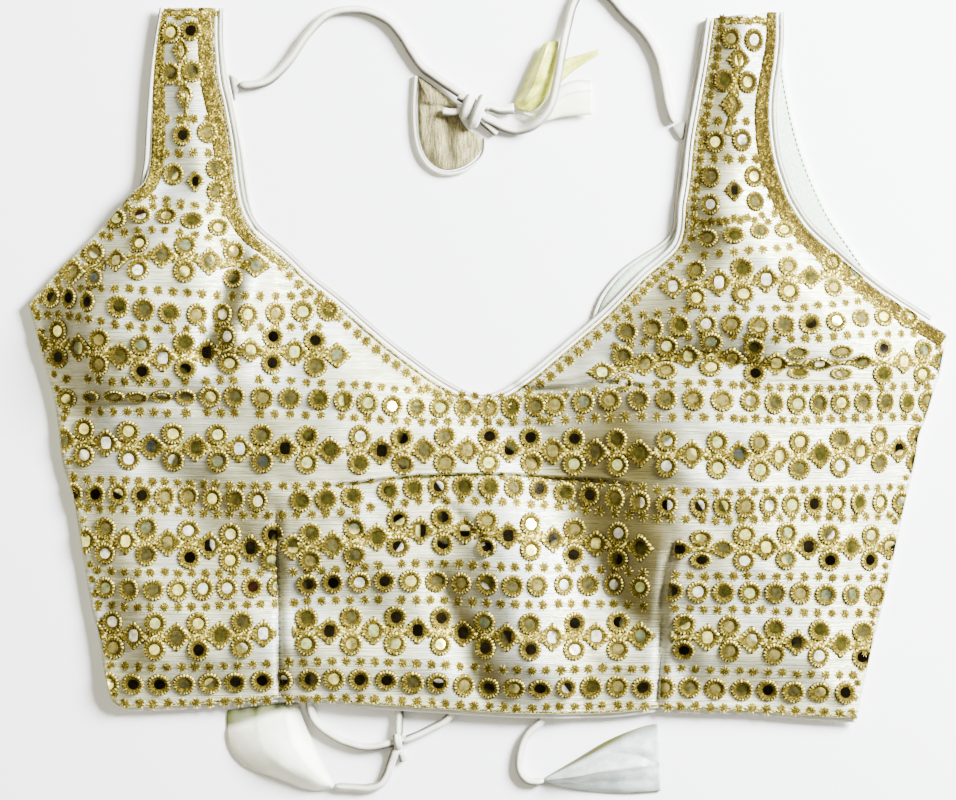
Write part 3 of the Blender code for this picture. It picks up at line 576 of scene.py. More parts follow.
def woven(name, dark, light, slub, thread, bump, fold=None, cool=None, **values):
    """Woven cloth: streaks run between two colours and stand up a little.

    With a cool colour, broad soft random patches of it lie over the streaks as painted cool
    light.  With a fold colour, the mark called shade says how much of this painted shade shows
    at each point.
    """
    material, tree, shader = blank(name, **values)
    group = node(tree, "ShaderNodeGroup", {"Slub": slub, "Thread": thread}, node_tree=STREAKS)
    colour = mixed(tree, group.outputs["Streak"], dark, light)
    # Painted cool light in soft random patches
    if cool:
        patch = node(tree, "ShaderNodeMapRange", {"Value": noise(tree, 26.0, 3.0),
                                                  "From Min": 0.46, "From Max": 0.66,
                                                  "To Max": 0.6})
        colour = mixed(tree, patch.outputs[0], colour, cool)
    # Painted shade: the fold colour, as much as the mark called shade says
    if fold:
        colour = mixed(tree, mark(tree, "shade"), colour, fold)
    raised = node(tree, "ShaderNodeBump", {"Height": group.outputs["Height"], "Strength": bump,
                                           "Distance": 0.0004})
    tree.links.new(colour, shader.inputs["Base Color"])
    tree.links.new(raised.outputs[0], shader.inputs["Normal"])
    return material


def gold_thread():
    """Metal thread: the mark called groove paints it from brown shade to pale gold highlight."""
    material, tree, shader = blank("gold_thread", Metallic=0.15, Roughness=0.46,
                                   Specular_IOR_Level=0.0)
    fleck = noise(tree, 1300.0, 1.0)
    flecks = maths(tree, "MULTIPLY", maths(tree, "SUBTRACT", fleck, 0.5), 1.4)
    total = maths(tree, "ADD", mark(tree, "groove"), flecks, clamp=True)
    ramp = node(tree, "ShaderNodeValToRGB", {"Fac": total})
    stops = ramp.color_ramp.elements
    stops[0].position, stops[0].color = 0.06, (0.030, 0.021, 0.005, 1.0)
    stops[1].position, stops[1].color = 0.93, (1.0, 0.88, 0.30, 1.0)
    stops.new(0.35).color = (0.078, 0.057, 0.007, 1.0)
    stops.new(0.65).color = (0.25, 0.190, 0.024, 1.0)
    raised = node(tree, "ShaderNodeBump", {"Height": fleck, "Strength": 0.35,
                                           "Distance": 0.0002})
    tree.links.new(ramp.outputs["Color"], shader.inputs["Base Color"])
    tree.links.new(raised.outputs[0], shader.inputs["Normal"])
    return material


def mirror_glass():
    """Silvered glass: its colour is the painted reflection in a colour mark, with faint tarnish.
    """
    material, tree, shader = blank("mirror_glass", Metallic=0.5, Specular_IOR_Level=0.04)
    haze = noise(tree, 420.0, 2.0)
    rough = node(tree, "ShaderNodeMapRange", {"Value": haze, "To Min": 0.05, "To Max": 0.28})
    worn = node(tree, "ShaderNodeMapRange", {"Value": haze, "From Min": 0.3, "From Max": 0.7,
                                             "To Min": 0.5, "To Max": 1.3})
    # Painted reflection: the colour mark, made darker or lighter by the tarnish
    shown = mixed(tree, 1.0, mark(tree, "painted_reflection", "Color"), worn.outputs[0], "MULTIPLY")
    tree.links.new(shown, shader.inputs["Base Color"])
    tree.links.new(rough.outputs[0], shader.inputs["Roughness"])
    return material


def satin(name, dark, light, fold):
    """Satin of a latkan: short dense threads and a soft sheen."""
    return woven(name, dark, light, (90, 140, 140), (900, 2600, 1800), 0.2, fold,
                 Roughness=0.34, Specular_IOR_Level=0.4)


# Silk: streaks, slub and thread scales, bump, painted shade colour, painted cool light colour
SILK = woven("dupion_silk", (0.43, 0.43, 0.225), (0.855, 0.85, 0.63), (26, 1100, 60),
             (150, 3600, 300), 0.8, (0.12, 0.094, 0.017), (0.68, 0.76, 0.78), Roughness=0.42,
             Metallic=0.3)
BACK_SILK = woven("back_dupion", (0.78, 0.77, 0.68), (0.88, 0.87, 0.80), (30, 900, 60),
                  (150, 3000, 300), 0.4, Roughness=0.5)
LINING = woven("lining_cotton", (0.58, 0.77, 0.57), (0.77, 0.90, 0.74), (500, 500, 500),
               (2200, 2600, 2400), 0.3, Roughness=0.75)
# Bias satin: its last colour is the painted shade down the sides of cords and piping
SATIN_BIAS = woven("cream_satin_bias", (0.78, 0.75, 0.64), (0.90, 0.88, 0.80), (160, 160, 160),
                   (1800, 1800, 1800), 0.25, (0.034, 0.029, 0.010), Roughness=0.5,
                   Specular_IOR_Level=0.2)
# Latkan satins: streak colours and the colour of their painted shade
LIME_SATIN = satin("lime_satin", (0.44, 0.46, 0.04), (0.82, 0.84, 0.17), (0.15, 0.14, 0.008))
CREAM_SATIN = satin("cream_satin", (0.90, 0.90, 0.70), (0.98, 0.98, 0.84),
                    (0.085, 0.098, 0.020))
GREY_SATIN = satin("grey_satin", (0.30, 0.36, 0.33), (0.54, 0.60, 0.57),
                   (0.065, 0.062, 0.014))
GOLD = gold_thread()
MIRROR = mirror_glass()
print("finishes:", [m.name for m in (SILK, BACK_SILK, LINING, SATIN_BIAS, LIME_SATIN, CREAM_SATIN,
                                     GREY_SATIN, GOLD, MIRROR)])

# %% [markdown]
# ## The front
# The front is one sheet in the solids, and two lofts here: from the centre line and the
# neckline out to each side, row by row, close enough for the tucks.  Columns crowd where the
# waist darts run.  Both grids share the centre column, which is merged before the sheet gets
# its thickness, so the cloth stays whole.

# %% The front
COLUMNS, BODY_ROWS, UPPER_ROWS = 76, 122, 108
# Where the grid crowds (place, spread, extra): at the darts, the under-bust tuck, the cups' foot
DART_CROWD, TUCK_CROWD, CUP_CROWD = (0.525, 0.06, 2.2), (0.75, 0.035, 3.0), (0.04, 0.04, 3.0)
SILK_WALL = 1.1


def crowded(count, middle, spread, extra):
    """count + 1 shares from 0 to 1, closer about one place.

    Their density is 1 + extra * e^-(d / spread)^2 at a distance d from it.
    """
    even = np.linspace(0, 1, 400)
    density = 1 + extra * np.exp(-((even - middle) / spread) ** 2)
    total = np.concatenate([[0], np.cumsum((density[1:] + density[:-1]) / 2)])
    return np.interp(np.linspace(0, total[-1], count + 1), total, even)


def half_grid(outer, inner, levels):
    """(x, y) of one half: straight rows between inner and outer edge, hem to shoulder."""
    share = crowded(COLUMNS, *DART_CROWD)[None, :]
    climb = crowded(BODY_ROWS, *TUCK_CROWD)[:, None]
    corner_y = outer[0, 1]
    outer_x = x_on(outer, corner_y + (NECK_Y - corner_y) * climb)
    x = CENTRE_X + (outer_x - CENTRE_X) * share
    hem = np.interp(x, HEM_LINE[:, 0], HEM_LINE[:, 1])
    y = hem + (NECK_Y - hem) * climb
    table = np.array(levels)
    climb = crowded(UPPER_ROWS, *CUP_CROWD)[1:, None]
    inner_y = table[0, 0] + (table[-1, 0] - table[0, 0]) * climb
    outer_y = np.interp(inner_y, table[:, 0], table[:, 1])
    inner_x, outer_x = x_on(inner, inner_y), x_on(outer, outer_y)
    return (np.vstack([x, inner_x + (outer_x - inner_x) * share]),
            np.vstack([y, inner_y + (outer_y - inner_y) * share]))


left_x, left_y = half_grid(OUTER_LEFT, NECK[:LOWEST + 1], LEVELS_LEFT)
right_x, right_y = half_grid(OUTER_RIGHT, NECK[LOWEST:], LEVELS_RIGHT)
face_x = np.concatenate([left_x.ravel(), right_x.ravel()])
face_y = np.concatenate([left_y.ravel(), right_y.ravel()])
face = np.column_stack([face_x, face_y, cloth_height(face_x, face_y)])
# Direction in which the light falls over the table
LIGHT_X, LIGHT_Y = 0.86, 0.51
UNDER_BUST = next(points for name, points, *_ in TUCKS if name == "under_bust")
# Patches of painted shade on the silk: x, y, half length, half width, turn, share of shade
SHADE_PATCHES = [
    (60, -74, 46, 24, -46, 0.70), (62, -24, 46, 25, -50, 0.42), (-8, -136, 34, 9, -64, 0.22),
    (-134, -88, 44, 16, -50, 0.26), (-160, -38, 60, 12, 4, 0.18), (-119, 48, 30, 8, 76, 0.20),
    (-212, 34, 20, 8, 70, 0.12), (-206, -2, 36, 22, 85, -0.44), (-186, -134, 36, 18, -75, -0.30),
    (88, 26, 30, 14, 40, 0.14), (186, -128, 26, 10, 76, 0.22), (122, 140, 50, 20, 84, 0.36),
    (130, 92, 22, 9, -50, 0.16), (160, 66, 44, 9, -46, 0.10), (-4, -46, 50, 5, 2, 0.10),
]


def painted_shade_share(x, y):
    """Share of painted shade, 1 - (1 - s)^2: s sums the lean away from the light and the patches.
    """
    wide_x, wide_y = slopes(x, y, 4.0)
    total = LIGHT_X * wide_x + LIGHT_Y * wide_y
    # Painted shade: a little more left of x = 100, and more again over the left half
    total = total + 0.04 * ease((100 - x) / 30) + 0.07 * ease((-20 - x) / 110)
    for cx, cy, long, wide, turn, share in SHADE_PATCHES:
        u, v = turned_axes(x, y, cx, cy, turn)
        total = total + share * np.exp(-(u / long) ** 2 - (v / wide) ** 2)
    # Painted shade along the under-bust crease
    line = smooth_run(UNDER_BUST)
    crease = (y - np.interp(x, line[:, 0], line[:, 1])) / 0.8
    crease = np.exp(-crease ** 2) * ease((x - line[0, 0]) / 30) * ease((line[-1, 0] - x) / 20)
    return 1 - (1 - np.clip(total + 0.5 * crease, 0, 0.82)) ** 2


painted_shade = painted_shade_share(face_x, face_y)
quads = np.vstack([grid_quads(*left_x.shape, flip=True),
                   grid_quads(*right_x.shape) + left_x.size])
# The mark called shade carries the silk's painted shade
front = piece("front_silk", face, quads, SILK, ["front_panel"],
              {"shade": painted_shade}, merge=True)
solidify(front, SILK_WALL)
print("front:", len(front.data.polygons), "faces")

# %% [markdown]
# ## Rows of mirror work
# The cloth is embroidered by the yard before it is cut, so one repeat of 63.75 mm runs along
# every row: five mirror rings, or three diamonds with a pair of rings between them, or nine
# small stars.  Rows keep their height on each piece and only bend where the cloth does.
# Two tables chart this.  The first gives the height of each row at ten stations across the
# front.  The second lists the runs of rings between two seams, with the step that a turned
# or gathered piece shows from above.  Everything else is a rule: diamonds sit half-way
# between pairs, and stars lie about a third of the way from a row of rings to the next row.

# %% Rows of mirror work
REPEAT = 63.75
RING_STEP, PAIR_STEP, STAR_STEP = REPEAT / 5, REPEAT / 3, REPEAT / 9
STATIONS = np.array([-214, -169, -124, -79, -34, 11, 56, 101, 146, 191], dtype=float)
RING_ROWS = {
    "b": [66, 75, 66.5, 64, 62, 60, 60, 62, 67.5, 73],
    "c": [34, 27, 24.5, 27.5, 24, 20, 15.5, 20, 19, 23.5],
    "d": [-16.5, -15.5, -16, -17.5, -21.2, -21.5, -18, -17, -19, -18.5],
    "e": [-64, -65, -67, -66.5, -60.8, -61, -65.5, -70, -69, -68.5],
    "f": [-110, -112, -111, -108.5, -107.5, -109.5, -109.5, -112.2, -113, -115],
    "g": [-158.5, -159.5, -158.5, -156.5, -158.2, -161.2, -160.5, -161, -162.5, -164.5],
}
DIAMOND_ROWS = {
    "b": [45, 54, 49.5, 47.5, 44, 40, 36.5, 40, 42.5, 46.5],
    "c": [10.5, 3, 7.5, 5, 1.5, -8, -4, 4.7, 0.7, 1.7],
    "d": [-37.5, -40.5, -41.5, -42, -42.5, -42, -43.5, -44, -45, -42],
    "e": [-88, -88, -90.8, -89.5, -82.5, -84.5, -89.5, -91, -89.8, -91],
    "f": [-133, -135.3, -134, -132.5, -132.5, -135, -135, -135.2, -137.5, -139.8],
}
# row, from x, to x, one centre, step, height of a ring seen from above, share of mirrors
# with a painted dark reflection
RING_RUNS = [
    ("b", -194, -128, -160, 12.9, 0.85, 0.0), ("b", 103, 156, 122, 12.7, 0.85, 0.0),
    ("c", -228, -196, -208.6, 9.8, 1.0, 0.3), ("c", -198, -78, -170, 12.9, 1.0, 0.1),
    ("c", 60, 214, 120.5, 12.8, 0.95, 0.1),
    ("d", -216, -205, -210.6, 12.4, 0.85, 0.0), ("d", -204, -156, -186, 12.0, 0.60, 0.0),
    ("d", -155, -144, -150, 12.0, 0.80, 0.0), ("d", -143, -125, -126, 12.2, 1.0, 0.0),
    ("d", -120, -78, -98, 14.0, 1.0, 0.0),
    ("d", -75, 30, 0, 11.9, 1.0, 0.1), ("d", 30, 125, 61, 13.6, 1.0, 0.05),
    ("d", 125, 222, 163.5, 11.3, 1.0, 0.1),
    ("e", -212, -105, -161, 11.7, 1.0, 0.5), ("e", -104, -55, -80, 13.0, 1.0, 0.25),
    ("e", -50, 98, 0.5, 12.5, 1.0, 0.3), ("e", 102, 214, 150, 11.4, 1.0, 0.3),
    ("f", -200, -104.5, -154, 12.3, 1.0, 0.1), ("f", -103, -48, -89.5, 12.7, 1.0, 0.9),
    ("f", -47, 84, -0.5, 12.7, 1.0, 0.1), ("f", 88, 200, 142.4, 12.8, 1.0, 0.1),
    ("g", -190, -104, -138.5, 12.8, 1.0, 0.3), ("g", -103, 84.5, 0.5, 12.8, 1.0, 0.7),
    ("g", 86, 186, 139.6, 12.9, 1.0, 0.45),
]
# The same for the pairs of rings in the diamond rows
PAIR_RUNS = [
    ("b", -218, -110, -173, 23.2, 1.0, 0.1), ("b", 96, 190, 126, 22.7, 1.0, 0.1),
    ("c", -222, -78, -150, 21.4, 1.0, 0.3), ("c", 55, 134, 131.5, 21.4, 0.9, 0.1),
    ("c", 135, 180, 152.9, 21.4, 0.55, 0.1), ("c", 181, 225, 195.7, 21.4, 0.9, 0.1),
    ("d", -218, -77, -112, 22.4, 1.0, 0.05), ("d", -75, 70, 0.3, 21.3, 1.0, 0.25),
    ("d", 71, 100, 88.4, 24.2, 1.0, 0.3), ("d", 101, 218, 154, 20.3, 1.0, 0.1),
    ("e", -207, -105, -149, 20.9, 1.0, 0.35), ("e", -104, 84, -0.6, 21.8, 1.0, 0.4),
    ("e", 86, 118, 147.8, 21.4, 0.72, 0.6), ("e", 119, 206, 147.8, 21.4, 0.95, 0.3),
    ("f", -196, -104, -144, 21.6, 1.0, 0.3), ("f", -104, 84, -1.5, 22.2, 1.0, 0.35),
    ("f", 86, 196, 142.2, 22.4, 1.0, 0.3),
]
DART_LEFT = np.array([(-104.3, -166.0), (-104.3, -84.0)])
DART_RIGHT = np.array([(85.2, -170.0), (86.6, -123.0), (91.5, -88.0)])
# Cloth kept clear beside a seam, height of a pair's rings over its row, top of the waist darts
CUT_MARGIN, PAIR_RISE, DART_TOP = 0.8, 6.5, -86


def row_at(values, x):
    """Height of a row at x, on a smooth curve through its ten stations."""
    curve = smooth_run(np.column_stack([STATIONS, values]))
    return np.interp(x, curve[:, 0], curve[:, 1])


def stops_of(start, end, centre, step):
    """Places one step apart, counted from a known centre, between two limits."""
    first = math.ceil((start - centre) / step)
    return centre + step * np.arange(first, math.floor((end - centre) / step) + 1)


def cut_limits(x0, y):
    """Left and right limit at each y of the panel that holds x0."""
    low, high = x_on(OUTER_LEFT, y), x_on(OUTER_RIGHT, y)
    stitched = y < DART_TOP
    left_dart, right_dart = x_on(DART_LEFT, y), x_on(DART_RIGHT, y)
    low = np.where(stitched & (x0 > left_dart), left_dart, low)
    high = np.where(stitched & (x0 < left_dart), left_dart, high)
    low = np.where(stitched & (x0 > right_dart), right_dart, low)
    high = np.where(stitched & (x0 < right_dart) & (high > right_dart), right_dart, high)
    return low + CUT_MARGIN, high - CUT_MARGIN


def laid(shape, spots):
    """Copies of one small shape, each pressed to the silk and cut at its panel's edges.

    A point (u, v, w) of the shape goes to x = x0 + wide * (u cos t - v sin t),
    y = y0 + tall * (u sin t + v cos t), and stands w over the cloth along its slope.
    """
    u, v, w = np.asarray(shape, dtype=float).T
    x0, y0, turn, wide, tall = (column[:, None] for column in np.asarray(spots, dtype=float).T)
    slope_x, slope_y = slopes(x0, y0)
    wide = wide * np.maximum(0.85, 1 / np.sqrt(1 + slope_x ** 2))
    tall = tall * np.maximum(0.85, 1 / np.sqrt(1 + slope_y ** 2))
    x = x0 + wide * (u * np.cos(turn) - v * np.sin(turn))
    y = y0 + tall * (u * np.sin(turn) + v * np.cos(turn))
    low, high = cut_limits(x0, y)
    x = np.clip(x, low, high)
    lean = w / np.sqrt(1 + slope_x ** 2 + slope_y ** 2)
    z = cloth_height(x, y) + w
    return stacked(x - lean * slope_x, y - lean * slope_y, z)


def repeated(faces, size, count):
    """Faces of one shape of so many points, numbered on for each copy."""
    faces = np.asarray(faces)
    return (faces[None] + size * np.arange(count)[:, None, None]).reshape(-1, faces.shape[1])


ring_spots, diamond_spots, patch_spots, ring_dark_reflections, diamond_dark_reflections = [], [], [], [], []
for row, start, end, centre, step, squash, dark in RING_RUNS:
    x = stops_of(start, end, centre, step)
    wide = min(1.04, max(0.86, step / RING_STEP))
    for place, height in zip(x, row_at(RING_ROWS[row], x)):
        ring_spots.append((place, height, 0.0, wide, squash))
        ring_dark_reflections.append(dark)
for row, start, end, centre, step, squash, dark in PAIR_RUNS:
    x = stops_of(start, end, centre, step)
    wide = min(1.0, step / PAIR_STEP)
    for place, height in zip(x, row_at(DIAMOND_ROWS[row], x)):
        for side in (1, -1):
            ring_spots.append((place, height + side * PAIR_RISE * (0.55 + 0.45 * squash), 0.0,
                               wide, squash))
            ring_dark_reflections.append(dark)
        patch_spots.append((place, height, 0.0, wide, 0.5 + 0.5 * squash))
    x = stops_of(start - step / 2, end + step / 2, centre + step / 2, step)
    for place, height in zip(x, row_at(DIAMOND_ROWS[row], x)):
        diamond_spots.append((place, height, 0.0, wide, squash))
        diamond_dark_reflections.append(dark)


def spaced(spots, dark_reflection_shares, least):
    """Spots kept, with their dark shares: one too close to an earlier one falls in a seam."""
    places, kept = np.array(spots)[:, :2], []
    for k, place in enumerate(places):
        if not kept or np.linalg.norm(places[kept] - place, axis=1).min() > least:
            kept.append(k)
    return [spots[k] for k in kept], [dark_reflection_shares[k] for k in kept]


print(len(ring_spots), "rings,", len(diamond_spots), "diamonds charted")

# %% [markdown]
# ## Straps
# The straps are cut from the same cloth with its rows across them.  The repeat shows there
# as a pair of rings, a diamond below it, and a line of stars between.

# %% Straps
STRAP_RINGS = [
    (-158, 166.5), (-148, 167), (-158.5, 146), (-147.5, 147), (-152.8, 115), (-140, 116),
    (-157, 95.5), (-135.5, 98), (-135.5, 86.5),
    (121.5, 163.5), (132.5, 162.5), (118, 142), (130, 141.5), (113.8, 111.8), (126.5, 112.5),
    (111.2, 94), (132.5, 94.2), (110.5, 80.2), (133.2, 81.5),
]
# x, y, width and height against a full diamond
STRAP_DIAMONDS = [(-153, 157, 0.58, 0.98), (-151, 134.5, 0.58, 1.08), (-146, 91.5, 0.62, 0.82),
                  (125.5, 152.5, 0.80, 0.98), (122, 130, 0.80, 1.05), (122.3, 87, 0.66, 0.85)]
# Star rows on the straps: from x, to x, y
STRAP_STARS = [(-161, -136, 123), (-161, -131, 106), (-167, -129, 79),
               (108, 138, 121.5), (106, 138, 103), (104, 142, 71.5)]
# Cross patches down the strap, and what the cut leaves of the next motifs: x, y, turn
STRAP_PATCHES = [(-153.6, 151.0, 1.5), (-152.4, 142.4, 1.5), (-150.2, 128.6, 1.4),
                 (124.6, 147.0, 1.3), (122.8, 138.6, 1.3), (121, 125.4, 1.3)]
STRAP_CUTS = [(-159, 176.4), (-154.5, 174.2), (-150, 176.6), (-144.5, 174.6), (121.5, 171.4),
              (125.5, 172.4), (130, 171.6), (134.6, 172.6), (139.4, 171.2)]
for x, y, turn in STRAP_PATCHES:
    patch_spots.append((x, y, turn, 0.70, 1.7))
for x, y in STRAP_RINGS:
    ring_spots.append((x, y, 0.0, 0.92, 1.0))
    ring_dark_reflections.append(0.08)
for x, y, wide, tall in STRAP_DIAMONDS:
    diamond_spots.append((x, y, 0.0, wide, tall))
    diamond_dark_reflections.append(0.4)

ROW_ORDER = "bcdefg"
# How far from the rings to the diamonds above and below them a star row lies, where not 0.37
STAR_SHARE, UP_SHARE, DOWN_SHARE = 0.37, {"e": 0.28}, {"d": 0.32, "e": 0.31}
# Star rows above the first row of rings and below the last one, in millimetres from it
FIRST_STARS, LAST_STARS = 8.0, -9.6
star_spots = []


def star_row(x, heights):
    """Stars along a row, at each x."""
    star_spots.extend((place, height, 0.0, 1.0, 1.0) for place, height in zip(x, heights))


for row, start, end, centre, step, _, _ in RING_RUNS:
    step = STAR_STEP * step / RING_STEP
    x = np.arange(start + (centre - start) % step, end, step)
    middle = row_at(RING_ROWS[row], x)
    if row == ROW_ORDER[0]:
        star_row(x, middle + FIRST_STARS)
    else:
        above = row_at(DIAMOND_ROWS[ROW_ORDER[ROW_ORDER.index(row) - 1]], x)
        star_row(x, middle + UP_SHARE.get(row, STAR_SHARE) * (above - middle))
    if row == ROW_ORDER[-1]:
        star_row(x, middle + LAST_STARS)
    else:
        below = row_at(DIAMOND_ROWS[row], x)
        star_row(x, middle + DOWN_SHARE.get(row, STAR_SHARE) * (below - middle))
for start, end, y in STRAP_STARS:
    x = np.arange(start, end, STAR_STEP)
    star_row(x, np.full(len(x), y))
star_spots += [(x, y, 0.2, 1.35, 0.75) for x, y in STRAP_CUTS]
print(len(star_spots), "stars")

# %% [markdown]
# ## Rings, mirrors, diamonds and stars
# A mirror is held by a frame of radial stitches, packed so close that they stand up as a
# soft rim and slope down to the glass.  Here 20 stitches go round: every second column of
# the ring is a groove.  A diamond is the same frame drawn to a rhombus, round a mirror with
# blunt corners.  A star is eight stitches crossing in one hole.

# %% Rings, mirrors, diamonds and stars
rng = np.random.default_rng(41)


def stitched_frame(outer, inner, columns, crest):
    """Frame between two outlines r(angle): points (u, v, w), faces and painted light per point.

    The five circuits lie at shares 0, 0.10, 0.30, 0.62 and 1 of the way inwards.
    """
    angle = round_angles(columns)
    groove = (np.arange(columns) % 2).astype(float)
    share = np.array([0.0, 0.10, 0.30, 0.62, 1.0])[:, None]
    height = crest * np.array([0.05, 0.72, 1.0, 0.70, 0.32])[:, None]
    fading = np.array([1.0, 1.0, 0.8, 0.35, 0.1])[:, None]
    radius = outer(angle) * (1 - share) + inner(angle) * share - 0.42 * groove * fading
    height = height - 0.34 * crest * groove * fading * (share > 0)
    points = stacked(radius * np.cos(angle), radius * np.sin(angle), height)
    # Painted light: highlight on the rim, painted shade on the foot, the inner slope and every
    # groove
    bright = np.array([0.22, 0.92, 0.80, 0.42, 0.22])[:, None] - 0.58 * groove * fading
    return points, grid_quads(5, columns, wrap=True), bright.ravel()


def rounded(a, b, power):
    """Outline of |u / a|^p + |v / b|^p = 1 as a radius for each angle."""
    return lambda angle: (np.abs(np.cos(angle) / a) ** power
                          + np.abs(np.sin(angle) / b) ** power) ** (-1 / power)


def glass_shape(outline, sides, height):
    """Flat mirror: a centre and a circuit of points, with its triangles."""
    angle = round_angles(sides)
    radius = outline(angle)
    rim = np.column_stack([radius * np.cos(angle), radius * np.sin(angle), height + 0 * angle])
    edge = np.arange(sides)
    faces = np.column_stack([0 * edge, 1 + edge, 1 + (edge + 1) % sides])
    return np.vstack([[0, 0, height], rim]), faces


# Colours of the painted reflections in the mirrors
REFLECTION_TINTS = np.array([
    # red, green, blue, share; the first is a painted dark reflection, drawn by each run's own
    # share
    (0.0045, 0.0034, 0.0014, 0.00), (0.055, 0.049, 0.008, 0.19), (0.095, 0.083, 0.026, 0.22),
    (0.25, 0.205, 0.055, 0.15), (0.17, 0.19, 0.09, 0.07), (1.0, 0.88, 0.24, 0.14),
    (1.0, 0.97, 0.74, 0.11), (0.62, 0.66, 0.22, 0.09), (0.028, 0.009, 0.004, 0.02),
    (0.05, 0.056, 0.046, 0.02),
])

# Numbers of the painted reflections that the far side of a parted mirror can have
FAR_REFLECTION_TINTS = [0, 1, 2, 5, 6]


def painted_reflections(dark_reflection_shares, size):
    """A painted reflection for each mirror by its run's share of dark ones, at each of its points.

    Two in five are parted: their painted reflection changes across a line at a random angle.
    """
    dark_reflection_shares = np.asarray(dark_reflection_shares)
    count = len(dark_reflection_shares)
    kind = rng.choice(len(REFLECTION_TINTS), size=count, p=REFLECTION_TINTS[:, 3] / REFLECTION_TINTS[:, 3].sum())
    kind[rng.random(count) < dark_reflection_shares] = 0
    first = REFLECTION_TINTS[kind, :3] * rng.uniform(0.85, 1.12, (count, 1))
    first = first * np.where(kind == 0, rng.uniform(0.3, 2.4, count), 1.0)[:, None]
    other = REFLECTION_TINTS[rng.choice(FAR_REFLECTION_TINTS, size=count), :3]
    parted = rng.random(count) < 0.40
    turn = rng.uniform(0, 2 * math.pi, count)[:, None]
    angle = round_angles(size - 1)
    side = np.concatenate([np.zeros((count, 1)), np.cos(angle[None, :] - turn)], axis=1)
    share = np.where(parted[:, None] & (side > 0.35), 1.0, 0.0)[..., None]
    colour = first[:, None, :] * (1 - share) + other[:, None, :] * share
    return np.concatenate([np.clip(colour, 0, 1), np.ones((count, size, 1))], axis=2)


# Painted shade on the thread of the right strap, which faces the light: by how much, beyond
# which x and y, eased over what
STRAP_SHADE, STRAP_SHADE_X, STRAP_SHADE_Y, STRAP_SHADE_EASE = 0.2, 88, 58, 30


def frames_piece(name, spots, shape):
    """One mesh of gold frames, with painted glints on the rims and painted shade on the slopes."""
    points, faces, bright = shape
    x, y = np.array(spots, dtype=float)[:, :2].T
    # Painted shade over the right strap
    strap_shade = STRAP_SHADE * ease((x - STRAP_SHADE_X) / STRAP_SHADE_EASE) * ease((y - STRAP_SHADE_Y) / STRAP_SHADE_EASE)
    rim = np.clip((bright - 0.35) * 2.2, 0.15, 1.0)[None, :]
    # Painted glints on the rims
    painted_glint = rng.uniform(-0.34, 0.30, (len(spots), len(bright))) * rim
    # Painted shade on each frame's slopes, more or less at random
    painted_gold_light = rng.uniform(0.62, 1.12, (len(spots), 1)) * (1 - rim) + rim
    painted_gold_light = painted_gold_light * bright[None, :] + painted_glint - strap_shade[:, None]
    return piece(name, laid(points, spots), repeated(faces, len(points), len(spots)), GOLD,
                 (), {"groove": painted_gold_light.ravel()})


def glass_piece(name, spots, dark_reflection_shares, outline):
    """One mesh of mirrors, each tipped a little in its frame, with its painted reflection."""
    points, faces = glass_shape(outline, GLASS_SIDES, GLASS_LEVEL)
    placed = laid(points, spots).reshape(len(spots), -1, 3)
    tip = rng.uniform(-0.10, 0.10, (len(spots), 2, 1))
    offset = placed - placed[:, :1]
    placed[..., 2] += tip[:, 0] * offset[..., 0] + tip[:, 1] * offset[..., 1]
    return piece(name, placed.reshape(-1, 3), repeated(faces, len(points), len(spots)), MIRROR,
                 (), {"painted_reflection": painted_reflections(dark_reflection_shares, len(points)).reshape(-1, 4)})


def rough_hand(spots, shift, turn, size):
    """Small seeded errors of a hand-guided machine: shift, turn and size."""
    spots = np.array(spots, dtype=float)
    count = len(spots)
    spots[:, :2] += rng.uniform(-shift, shift, (count, 2))
    spots[:, 2] += rng.uniform(-turn, turn, count)
    spots[:, 3:] *= rng.uniform(1 - size, 1 + size, (count, 2))
    return spots


# Least distance between two rings and between two diamonds; sides and level of the glass
RING_CLEAR, DIAMOND_CLEAR, GLASS_SIDES, GLASS_LEVEL = 7.6, 11.0, 12, 0.42
RING_SHAPE = stitched_frame(rounded(6.0, 6.0, 2), rounded(2.6, 2.6, 2), 40, 1.35)
DIAMOND_SHAPE = stitched_frame(rounded(8.3, 7.8, 1.04), rounded(2.4, 2.9, 3.5), 36, 1.2)
ring_spots, ring_dark_reflections = spaced(ring_spots, ring_dark_reflections, RING_CLEAR)
diamond_spots, diamond_dark_reflections = spaced(diamond_spots, diamond_dark_reflections, DIAMOND_CLEAR)
rings = rough_hand(ring_spots, 0.35, 0.15, 0.035)
diamonds = rough_hand(diamond_spots, 0.3, 0.04, 0.03)
frames_piece("mirror_rings", rings, RING_SHAPE)
glass_piece("ring_mirrors", rings, ring_dark_reflections, rounded(2.95, 2.95, 2))
frames_piece("diamond_frames", diamonds, DIAMOND_SHAPE)
glass_piece("diamond_mirrors", diamonds, diamond_dark_reflections, rounded(2.6, 3.1, 3.5))


def star_shape():
    """Eight rays: ridges out to the tips, with valleys between them."""
    tip = round_angles(8)
    valley = tip + math.pi / 8
    points = np.vstack([[0, 0, 0.70],
                        np.column_stack([3.1 * np.cos(tip), 3.1 * np.sin(tip), 0 * tip + 0.35]),
                        np.column_stack([1.85 * np.cos(valley), 1.85 * np.sin(valley),
                                         0 * tip + 0.15])])
    k = np.arange(8)
    after, before = 9 + k, 9 + (k - 1) % 8
    faces = np.vstack([np.column_stack([0 * k, before, 1 + k]),
                       np.column_stack([0 * k, 1 + k, after])])
    # Painted light: tips highlit, centre and valleys in painted shade
    bright = np.concatenate([[0.30], np.full(8, 0.95), np.full(8, 0.15)])
    return points, faces, bright


